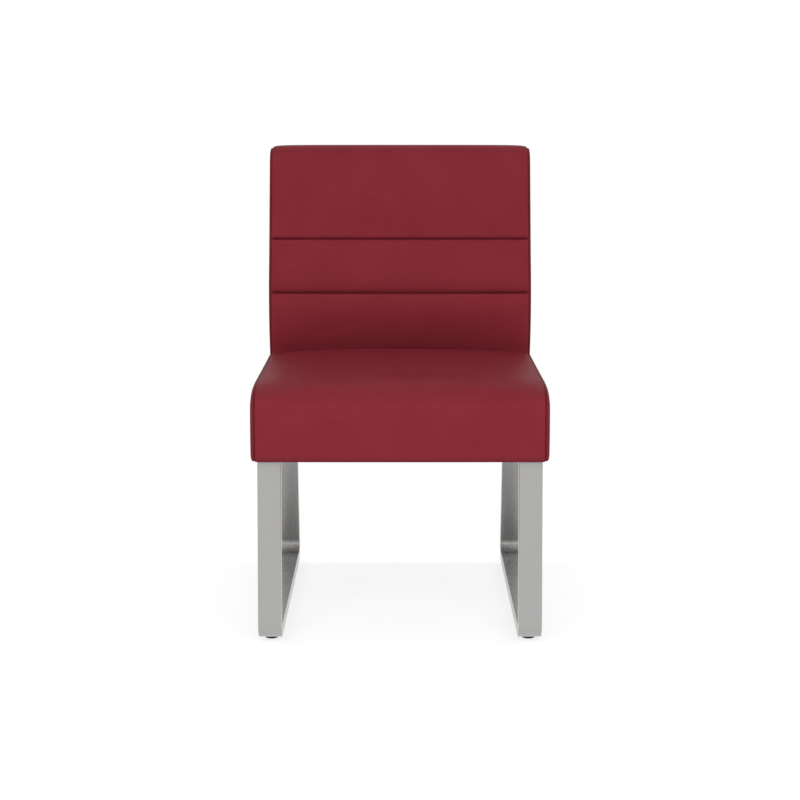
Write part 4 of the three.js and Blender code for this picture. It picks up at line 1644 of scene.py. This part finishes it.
@dataclass
class SideLoop:
    """One bent loop of rectangular tube, from the front leg over the floor rail to the raked rear leg."""

    side: Side
    tube_depth: float = 20.0 * MM
    tube_corner: float = 0.6 * MM
    front_radius: float = 30.0 * MM
    rear_radius: float = 38.0 * MM
    front_rake: float = FRONT_RAKE
    rear_rake: float = REAR_RAKE
    corner_steps: int = 5
    bend_steps: int = 20

    def runs(self, low: Vector, high: Vector) -> list[Run]:
        """The tube's middle line from above the front leg's top to above the rear leg's top.

        Args:
            low: The lowest corner of the loop's solid.
            high: Its highest corner.

        Returns:
            The runs in order.
        """
        half = self.tube_depth / 2
        front, rear = self.front_radius - half, self.rear_radius - half
        rise = (high.z - low.z - self.front_radius + self.tube_depth) / math.cos(self.front_rake)
        up = Vector((math.sin(self.front_rake), math.cos(self.front_rake)))
        bend = Vector((low.y + self.front_radius, low.z + self.front_radius))
        top = bend - Vector((up.y, -up.x)) * front + up * rise
        leg = Run(top, -math.pi / 2 - self.front_rake, rise)
        front_bend = leg.next(front * (math.pi / 2 + self.front_rake), front)
        rail = front_bend.next(high.y - self.rear_radius - bend.x)
        rear_bend = rail.next(rear * (math.pi / 2 + self.rear_rake), rear)
        rise = (high.z - low.z - self.rear_radius + self.tube_depth) / math.cos(self.rear_rake)
        return [leg, front_bend, rail, rear_bend, rear_bend.next(rise)]

    def build(self) -> bpy.types.Object:
        """Bends the tube's section along the loop.

        Returns:
            The loop's piece.
        """
        node = f"leg_loop_{self.side.label}"
        low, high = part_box(node)
        centre_x = (low.x + high.x) / 2
        runs = self.runs(low, high)
        shape = bmesh.new()
        bmesh.ops.create_grid(shape, x_segments=1, y_segments=1, size=0.5)
        size = Vector((high.x - low.x, self.tube_depth, 1))
        bmesh.ops.scale(shape, vec=size, verts=shape.verts[:])
        bevelled(shape, shape.verts, self.tube_corner, self.corner_steps, "VERTICES")
        place = Matrix.Translation((centre_x, *runs[0].start)) @ Matrix.Rotation(-self.front_rake, 4, "X")
        bmesh.ops.transform(shape, matrix=place, verts=shape.verts[:])
        end = shape.faces[:]
        for run in runs:
            if run.radius:
                end = self.bent(shape, end, run)
            else:
                step = Vector((0, math.cos(run.heading), math.sin(run.heading))) * run.length
                end = drawn(shape, end, step)
        sliced(shape, Vector((0, 0, high.z)), Vector((0, 0, 1)))
        piece = write_piece(shape, f"side_loop_{self.side.label}", BRUSHED)
        self.mark_tube(piece.data, runs, centre_x)
        weigh_normals(piece)
        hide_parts(node)
        return piece

    def bent(self, shape: bmesh.types.BMesh, faces: Sequence[bmesh.types.BMFace],
             run: Run) -> list[bmesh.types.BMFace]:
        """Spins an end face about a bend's centre.

        Args:
            shape: The tube so far.
            faces: Its end face, alone in a list.
            run: The bend.

        Returns:
            The new end face, alone in a list.
        """
        parts = {part for face in faces for part in (face, *face.verts, *face.edges)}
        last = bmesh.ops.spin(
            shape, geom=list(parts), cent=(0, *run.centre), axis=(1, 0, 0), dvec=(0, 0, 0),
            angle=run.turn, space=Matrix.Identity(4), steps=self.bend_steps, use_merge=False,
            use_duplicate=False)
        return only(last["geom_last"], bmesh.types.BMFace)

    @staticmethod
    def mark_tube(mesh: bpy.types.Mesh, runs: Sequence[Run], centre_x: float) -> None:
        """Stores each point's place on the tube as if it were straight: across, through and along.

        Args:
            mesh: The tube's mesh.
            runs: The runs of its middle line.
            centre_x: The middle line's place along X.
        """
        points = read_points(mesh)
        measures = [run.measured(points[:, 1:]) for run in runs]
        outs, alongs, misses = (np.stack(rows) for rows in zip(*measures))
        walked = np.cumsum([0, *(run.length for run in runs[:-1])])
        nearest = misses.argmin(0)
        column = np.arange(len(points))
        along = (alongs + walked[:, None])[nearest, column]
        store_place(mesh, np.column_stack([points[:, 0] - centre_x, outs[nearest, column], along]))


def store_place(mesh: bpy.types.Mesh, places: np.ndarray) -> None:
    """Keeps a place for each point under the name that the brushed finish reads."""
    attribute = mesh.attributes.new(TUBE_PLACE, "FLOAT_VECTOR", "POINT")
    attribute.data.foreach_set("vector", places.astype(np.float32).ravel())


@dataclass
class MountingBar:
    """The flat bar welded between the tops of a loop's legs."""

    side: Side
    front_rake: float = FRONT_RAKE
    rear_rake: float = REAR_RAKE
    edge: float = 0.8 * MM

    def build(self) -> bpy.types.Object:
        """A bar with broken edges, its ends cut to the legs.

        Returns:
            The bar's piece.
        """
        node = f"mounting_bar_{self.side.label}"
        low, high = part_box(node)
        shape = bmesh.new()
        place = Matrix.Translation((low + high) / 2) @ Matrix.Diagonal((*(high - low), 1))
        bmesh.ops.create_cube(shape, size=1.0, matrix=place)
        for end, rake in ((low, self.front_rake), (high, self.rear_rake)):
            outward = Vector((0, math.copysign(math.cos(rake), end.y), math.sin(rake)))
            sliced(shape, Vector((0, end.y, low.z)), outward)
        bmesh.ops.remove_doubles(shape, verts=shape.verts[:], dist=TINY)
        bevelled(shape, shape.edges, self.edge, 3)
        piece = write_piece(shape, f"bar_{self.side.label}", BRUSHED)
        x, y, z = read_points(piece.data).T
        store_place(piece.data, np.column_stack([x, z, y]))
        weigh_normals(piece)
        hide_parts(node)
        return piece


def turned_shape(profile: Sequence[tuple[float, float]], centre: Vector, steps: int) -> bmesh.types.BMesh:
    """Spins an open profile of radius and height about an upright axis.

    Args:
        profile: The points, from the axis or back to the start.
        centre: A point on the axis from which heights count.
        steps: How many steps make the full turn.

    Returns:
        The closed shape.
    """
    shape = bmesh.new()
    verts = [shape.verts.new((centre.x + r, centre.y, centre.z + h)) for r, h in profile]
    edges = [shape.edges.new(pair) for pair in zip(verts, verts[1:])]
    bmesh.ops.spin(shape, geom=verts + edges, cent=centre, axis=(0, 0, 1), dvec=(0, 0, 0),
                   angle=2 * math.pi, space=Matrix.Identity(4), steps=steps, use_merge=True,
                   use_duplicate=False)
    bmesh.ops.remove_doubles(shape, verts=shape.verts[:], dist=TINY)
    return shape


def rounded(profile: Sequence[tuple[float, float, float]], steps: int = 5) -> list[tuple[float, float]]:
    """Rounds the corners of a profile.

    Args:
        profile: Points of radius, height and the corner's own radius.
        steps: Steps in each round.

    Returns:
        The points with arcs in place of rounded corners.
    """
    points = []
    for i, (r, h, size) in enumerate(profile):
        here = Vector((r, h))
        if size <= 0 or i in (0, len(profile) - 1):
            points.append((r, h))
            continue
        before = (Vector(profile[i - 1][:2]) - here).normalized() * size
        after = (Vector(profile[i + 1][:2]) - here).normalized() * size
        for step in range(steps + 1):
            t = step / steps
            bend = here + before * (1 - t) ** 2 + after * t ** 2
            points.append((bend.x, bend.y))
    return points


def sliced(shape: bmesh.types.BMesh, point: Vector, outward: Vector) -> None:
    """Cuts a closed shape along a plane, takes the outer part off and closes the cut.

    Args:
        shape: The closed shape.
        point: A point on the plane.
        outward: The direction in which the part that comes off lies.
    """
    cut = bmesh.ops.bisect_plane(
        shape, geom=shape.verts[:] + shape.edges[:] + shape.faces[:], dist=CUT_REACH,
        plane_co=point, plane_no=outward, clear_outer=True)
    rim = [edge for edge in only(cut["geom_cut"], bmesh.types.BMEdge) if edge.is_boundary]
    bmesh.ops.holes_fill(shape, edges=rim, sides=0)


def threaded_shape(low: Vector, length: float, radius: float, pitch: float, steps: int) -> bmesh.types.BMesh:
    """A rod with a helical thread: a row of teeth spun through one turn while it climbs one pitch.

    Args:
        low: The middle of the rod's lower end.
        length: The rod's length.
        radius: The radius over the thread's crests.
        pitch: The climb in one turn.
        steps: How many steps make one turn.

    Returns:
        The closed rod.
    """
    shape = bmesh.new()
    depth_share, flat_share = 0.6, 0.13
    root = radius - depth_share * pitch
    teeth = ((0.0, radius), (flat_share, radius), (0.5, root), (0.5 + flat_share, root))
    count = math.ceil(length / pitch) + 3
    verts = [shape.verts.new((low.x + r, low.y, low.z + (turn - 1.5 + share) * pitch))
             for turn in range(count) for share, r in teeth]
    edges = [shape.edges.new(pair) for pair in zip(verts, verts[1:])]
    bmesh.ops.spin(shape, geom=verts + edges, cent=low, axis=(0, 0, 1), dvec=(0, 0, pitch / steps),
                   angle=2 * math.pi, space=Matrix.Identity(4), steps=steps, use_merge=False,
                   use_duplicate=False)
    bmesh.ops.remove_doubles(shape, verts=shape.verts[:], dist=TINY)
    for point, outward in ((low, -1), (low + Vector((0, 0, length)), 1)):
        sliced(shape, point, Vector((0, 0, outward)))
    return shape


@dataclass
class BarBolt:
    """A hexagon bolt up through a bar into the seat's frame."""

    side: Side
    number: int
    head_height: float = 5.3 * MM
    head_radius: float = 7.5 * MM
    shank_radius: float = 4.0 * MM
    edge: float = 0.7 * MM
    dish: float = 0.5 * MM

    def build(self) -> bpy.types.Object:
        """The head with its chamfer and forged dish, and the shank.

        Returns:
            The bolt's piece.
        """
        node = f"base_bolt_{self.side.label}_{self.number}"
        low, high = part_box(node)
        centre = (low + high) / 2
        shape = bmesh.new()
        place = Matrix.Translation((centre.x, centre.y, low.z + self.head_height / 2))
        bmesh.ops.create_cone(shape, cap_ends=True, segments=6, radius1=self.head_radius,
                              radius2=self.head_radius, depth=self.head_height,
                              matrix=place @ Matrix.Rotation(math.pi / 6, 4, "Z"))
        under = min(shape.faces, key=lambda face: face.calc_center_median().z)
        bevelled(shape, under.edges, self.edge, 2)
        under = min(shape.faces, key=lambda face: face.calc_center_median().z)
        bmesh.ops.inset_individual(shape, faces=[under], thickness=3 * self.edge, depth=-self.dish)
        length = high.z - low.z - self.head_height
        shank = Matrix.Translation((centre.x, centre.y, high.z - length / 2))
        bmesh.ops.create_cone(shape, cap_ends=True, segments=24, radius1=self.shank_radius,
                              radius2=self.shank_radius, depth=length, matrix=shank)
        piece = write_piece(shape, f"bolt_{self.side.label}_{self.number}", ZINC)
        piece.data.set_sharp_from_angle(angle=SHARP_ANGLE)
        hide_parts(node)
        return piece


@dataclass
class WeldBead:
    """The rippled fillet weld under one end of a bar."""

    side: Side
    end: End
    radius: float = 2.4 * MM
    ripple: float = 0.22 * MM
    ripples: int = 13
    steps: int = 4
    margin: float = 2.0 * MM
    lift: float = 0.4 * MM
    tip_share: float = 0.6

    def build(self) -> bpy.types.Object:
        """Grows the bead across the bar, one ripple after the other.

        Returns:
            The bead's piece.
        """
        low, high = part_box(f"mounting_bar_{self.side.label}")
        y = low.y if self.end is End.FRONT else high.y
        start = Vector((low.x + self.margin, y, low.z + self.lift))
        total = self.ripples * self.steps
        step = Vector((high.x - low.x - 2 * self.margin, 0, 0)) / total
        shape = bmesh.new()
        place = Matrix.Translation(start) @ Matrix.Rotation(math.pi / 2, 4, "Y")
        size = self.tip_share * self.radius
        bmesh.ops.create_circle(shape, cap_ends=True, radius=size, segments=16, matrix=place)
        end, middle = shape.faces[:], start
        for index in range(1, total + 1):
            end = drawn(shape, end, step)
            middle = middle + step
            wave = self.ripple * abs(math.sin(math.pi * index / self.steps))
            wanted = (self.tip_share if index == total else 1.0) * self.radius + wave
            bmesh.ops.scale(shape, vec=Vector((1, 1, 1)) * (wanted / size),
                            space=Matrix.Translation(-middle), verts=list(end[0].verts))
            size = wanted
        piece = write_piece(shape, f"weld_{self.end.value}_{self.side.label}", BRUSHED)
        x, y, z = read_points(piece.data).T
        store_place(piece.data, np.column_stack([y, z, x]))
        return piece


@dataclass
class Glide:
    """A levelling glide: a domed foot that turns on a threaded stud."""

    side: Side
    end: End
    foot_radius: float = 12.5 * MM
    crown_radius: float = 11.2 * MM
    floor_thickness: float = 1.8 * MM
    stud_radius: float = 4.0 * MM
    bore: float = 4.3 * MM
    pitch: float = 1.25 * MM
    flange_radius: float = 7.5 * MM
    flange: float = 1.5 * MM
    sleeve_wall: float = 1.2 * MM
    bulge_radius: float = 6.6 * MM
    steps: int = 64

    @property
    def body(self) -> str:
        """The body that the foot and the stud move with."""
        return f"glide_{self.end.value}_{self.side.label}"

    def stand(self, part: str) -> tuple[str, Vector, float]:
        """Finds where a part of the glide stands.

        Args:
            part: Foot, stud or sleeve.

        Returns:
            The part's node, the middle of its underside and its height.
        """
        node = f"glide_{part}_{self.end.value}_{self.side.label}"
        low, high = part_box(node)
        return node, Vector(((low.x + high.x) / 2, (low.y + high.y) / 2, low.z)), high.z - low.z

    def foot(self) -> bpy.types.Object:
        """The moulded foot with its socket.

        Returns:
            The foot's piece.
        """
        node, centre, height = self.stand("foot")
        rim = self.foot_radius
        profile = rounded([
            (0, 0, 0), (rim * 0.8, 0, 1.5 * MM), (rim, height * 0.42, 1.2 * MM),
            (rim, height * 0.7, 1.0 * MM), (self.crown_radius * 0.9, height, 1.5 * MM),
            (self.bore, height, 0.3 * MM), (self.bore, self.floor_thickness, 0), (0, self.floor_thickness, 0),
        ])
        shape = turned_shape(profile, centre, self.steps)
        piece = write_piece(shape, f"foot_{self.end.value}_{self.side.label}", NYLON, self.body)
        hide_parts(node)
        return piece

    def stud(self) -> bpy.types.Object:
        """The threaded stud that stands in the foot.

        Returns:
            The stud's piece.
        """
        node, bottom, height = self.stand("stud")
        shape = threaded_shape(bottom, height, self.stud_radius, self.pitch, self.steps // 2)
        piece = write_piece(shape, f"stud_{self.end.value}_{self.side.label}", ZINC, self.body)
        piece.data.set_sharp_from_angle(angle=SHARP_ANGLE)
        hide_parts(node)
        return piece

    def sleeve(self) -> bpy.types.Object:
        """The flanged sleeve that is set in the rail's underside.

        Returns:
            The sleeve's piece.
        """
        node, bottom, height = self.stand("sleeve")
        flange, bulge, wall = self.flange_radius, self.bulge_radius, self.bore + self.sleeve_wall
        edge, soft, bend = 0.4 * MM, 0.3 * MM, 0.5 * MM
        profile = rounded([
            (self.bore, 0, 0), (flange, 0, edge), (flange, self.flange, edge),
            (wall, self.flange, 0), (wall, 0.3 * height, soft), (bulge, 0.36 * height, bend),
            (bulge, 0.44 * height, bend), (wall, 0.5 * height, soft), (wall, height, soft),
            (self.bore, height, 0), (self.bore, 0, 0),
        ])
        shape = turned_shape(profile, bottom, self.steps)
        piece = write_piece(shape, f"sleeve_{self.end.value}_{self.side.label}", ZINC)
        piece.data.set_sharp_from_angle(angle=SHARP_ANGLE)
        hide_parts(node)
        return piece

    def build(self) -> list[bpy.types.Object]:
        """Makes the glide's pieces."""
        return [self.foot(), self.stud(), self.sleeve()]


@dataclass
class SteelBase:
    """Both side loops with their bars and glides."""

    def build(self) -> list[bpy.types.Object]:
        """Makes the base, one side after the other.

        Returns:
            The base's pieces.
        """
        pieces = []
        for side in Side:
            pieces += [SideLoop(side).build(), MountingBar(side).build()]
            pieces += [BarBolt(side, number).build() for number in (1, 2, 3)]
            for end in End:
                pieces += [WeldBead(side, end).build(), *Glide(side, end).build()]
        return pieces


@dataclass
class InnerFrame:
    """Finishes for the solids of the frame that stay as they are."""

    def finishes(self) -> dict[str, Finish]:
        """The finish of each node, by the start of its name.

        Returns:
            A finish for each start of a name.
        """
        across = Timber("birch_across", Grain.ACROSS)
        deep = Timber("birch_deep", Grain.DEEP)
        upright = Timber("birch_upright", Grain.UPRIGHT)
        return {
            "seat_rail_front": across, "seat_rear_rail": across, "seat_side_rail": deep,
            "corner_block": upright, "back_support_panel": upright, "back_stile": upright,
            "back_lower_rail": across, "back_middle_rail": across, "back_top_rail": across,
            "back_rear_panel": Fibreboard("fibreboard"), "felt_pad": Felt("felt"),
            "webbing_long": Webbing("webbing_long", Grain.DEEP),
            "webbing_cross": Webbing("webbing_cross", Grain.ACROSS),
            "dust_cover": DUST_CLOTH, "seat_foam": Foam("foam"), "back_foam": Foam("foam"),
            "glide_stud": ZINC, "glide_sleeve": ZINC, "base_bolt": ZINC, "base_insert": ZINC,
            "back_bolt": ZINC, "leg_loop": BRUSHED, "mounting_bar": BRUSHED, "glide_foot": NYLON,
            "seat_cover": VINYL, "back_cover": VINYL,
        }

    def dress(self) -> int:
        """Gives each node its finish.

        Returns:
            How many nodes were dressed.
        """
        finishes = self.finishes()
        for name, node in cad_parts.items():
            finish = next(f for start, f in finishes.items() if name.startswith(start))
            node.data.materials.clear()
            node.data.materials.append(material_of(finish))
        return len(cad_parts)


# Studio


@dataclass(frozen=True)
class Floor(Finish):
    """A pale floor that looks white except for the shade close to the chair."""

    colour: float = 0.82
    lit_share: float = 0.42
    glow: float = 0.74
    half_width: float = 0.27
    front: float = -0.315
    rear: float = 0.30
    side_fade: float = 0.12
    end_fade: float = 0.03

    def build(self) -> bpy.types.Material:
        """Plain paint for the light, and a white glow with a fainter shade for the eye and for gloss.

        Returns:
            The material.
        """
        paint = Paint(self.name)
        paint.dress(Base_Color=(self.colour,) * 3, Roughness=0.9, Specular_IOR_Level=0.0)
        rays = paint.node("ShaderNodeLightPath")
        seen = Signal(paint, rays.outputs["Is Camera Ray"])
        for kind in ("Is Glossy Ray", "Is Transmission Ray"):
            seen = seen.at_least(Signal(paint, rays.outputs[kind]))
        x, y, _ = paint.axes(paint.place())
        beyond_x = (x.size() - self.half_width).at_least(0.0) * (1 / self.side_fade)
        beyond_y = (y - self.rear).at_least(self.front - y).at_least(0.0) * (1 / self.end_fade)
        away = (beyond_x * beyond_x + beyond_y * beyond_y) ** 0.5
        far = paint.span(away, 0.0, 1.0)
        faint = paint.node("ShaderNodeBsdfDiffuse", inputs={"Color": (self.lit_share,) * 3 + (1.0,)})
        glow = paint.node("ShaderNodeEmission", inputs={"Strength": self.glow})
        shaded = paint.node("ShaderNodeAddShader", inputs={0: faint.outputs[0], 1: glow.outputs[0]})
        white = paint.node("ShaderNodeEmission", inputs={"Strength": 1.0})
        shown = paint.node("ShaderNodeMixShader", inputs={
            0: far, 1: shaded.outputs[0], 2: white.outputs[0]})
        mixed = paint.node("ShaderNodeMixShader", inputs={
            0: seen, 1: paint.surface.outputs[0], 2: shown.outputs[0]})
        paint.tree.links.new(mixed.outputs[0], paint.output.inputs["Surface"])
        return paint.material


@dataclass
class Studio:
    """The floor, the lamps, the white surroundings and the camera."""

    floor_size: float = 30.0
    lens: float = 90.0
    sensor: float = 36.0
    eye: Vector = Vector((0.0, -3.661, 0.900))
    pitch: float = math.radians(8.1)
    surround: float = 0.5
    lamp_place: Vector = Vector((0.0, -4.6, 2.3))
    lamp_aim: Vector = Vector((0.0, 0.0, 0.45))
    lamp_size: float = 4.0
    lamp_power: float = 146.0

    def build(self) -> None:
        """Sets the studio up."""
        self.camera()
        self.floor()
        self.world()
        self.lamp()
        scene = bpy.context.scene
        scene.view_settings.view_transform = "Standard"

    def camera(self) -> None:
        """The camera at the picture's viewpoint."""
        data = bpy.data.cameras.new("camera")
        data.lens = self.lens
        data.sensor_width = self.sensor
        camera = bpy.data.objects.new("camera", data)
        camera.location = self.eye
        camera.rotation_euler = (math.pi / 2 - self.pitch, 0, 0)
        bpy.context.scene.collection.objects.link(camera)
        bpy.context.scene.camera = camera

    def floor(self) -> None:
        """A wide plane under the glides."""
        shape = bmesh.new()
        bmesh.ops.create_grid(shape, x_segments=1, y_segments=1, size=self.floor_size / 2)
        mesh = bpy.data.meshes.new("floor")
        shape.to_mesh(mesh)
        shape.free()
        mesh.materials.append(material_of(Floor("floor")))
        plane = bpy.data.objects.new("floor", mesh)
        bpy.context.scene.collection.objects.link(plane)

    def lamp(self) -> None:
        """A soft square lamp in front that faces the chair."""
        data = bpy.data.lights.new("front_lamp", "AREA")
        data.shape = "SQUARE"
        data.size = self.lamp_size
        data.energy = self.lamp_power
        lamp = bpy.data.objects.new("front_lamp", data)
        lamp.location = self.lamp_place
        aim = self.lamp_aim - self.lamp_place
        lamp.rotation_euler = aim.to_track_quat("-Z", "Y").to_euler()
        lamp.visible_glossy = False
        bpy.context.scene.collection.objects.link(lamp)

    def world(self) -> None:
        """Even light, seen as plain white by the camera, gloss and glass."""
        world = bpy.data.worlds.new("surroundings")
        world.use_nodes = True
        tree = world.node_tree
        tree.nodes.clear()
        rays = tree.nodes.new("ShaderNodeLightPath")
        white, light = (tree.nodes.new("ShaderNodeBackground") for _ in range(2))
        for node, strength in ((white, 1.0), (light, self.surround)):
            node.inputs["Color"].default_value = (1, 1, 1, 1)
            node.inputs["Strength"].default_value = strength
        seen = rays.outputs["Is Camera Ray"]
        for name in ("Is Glossy Ray", "Is Transmission Ray"):
            either = tree.nodes.new("ShaderNodeMath")
            either.operation = "MAXIMUM"
            tree.links.new(seen, either.inputs[0])
            tree.links.new(rays.outputs[name], either.inputs[1])
            seen = either.outputs[0]
        mix = tree.nodes.new("ShaderNodeMixShader")
        output = tree.nodes.new("ShaderNodeOutputWorld")
        tree.links.new(seen, mix.inputs[0])
        tree.links.new(light.outputs[0], mix.inputs[1])
        tree.links.new(white.outputs[0], mix.inputs[2])
        tree.links.new(mix.outputs[0], output.inputs["Surface"])
        bpy.context.scene.world = world


def main() -> None:
    """Builds the chair and its studio."""
    logging.basicConfig(level=logging.INFO, format="%(name)s: %(message)s")
    Studio().build()
    log.info("dressed %d solids", InnerFrame().dress())
    for part in (SteelBase(), Upholstery()):
        for piece in part.build():
            log.info("made %s with %d faces", piece.name, len(piece.data.polygons))


if __name__ == "__main__":
    main()
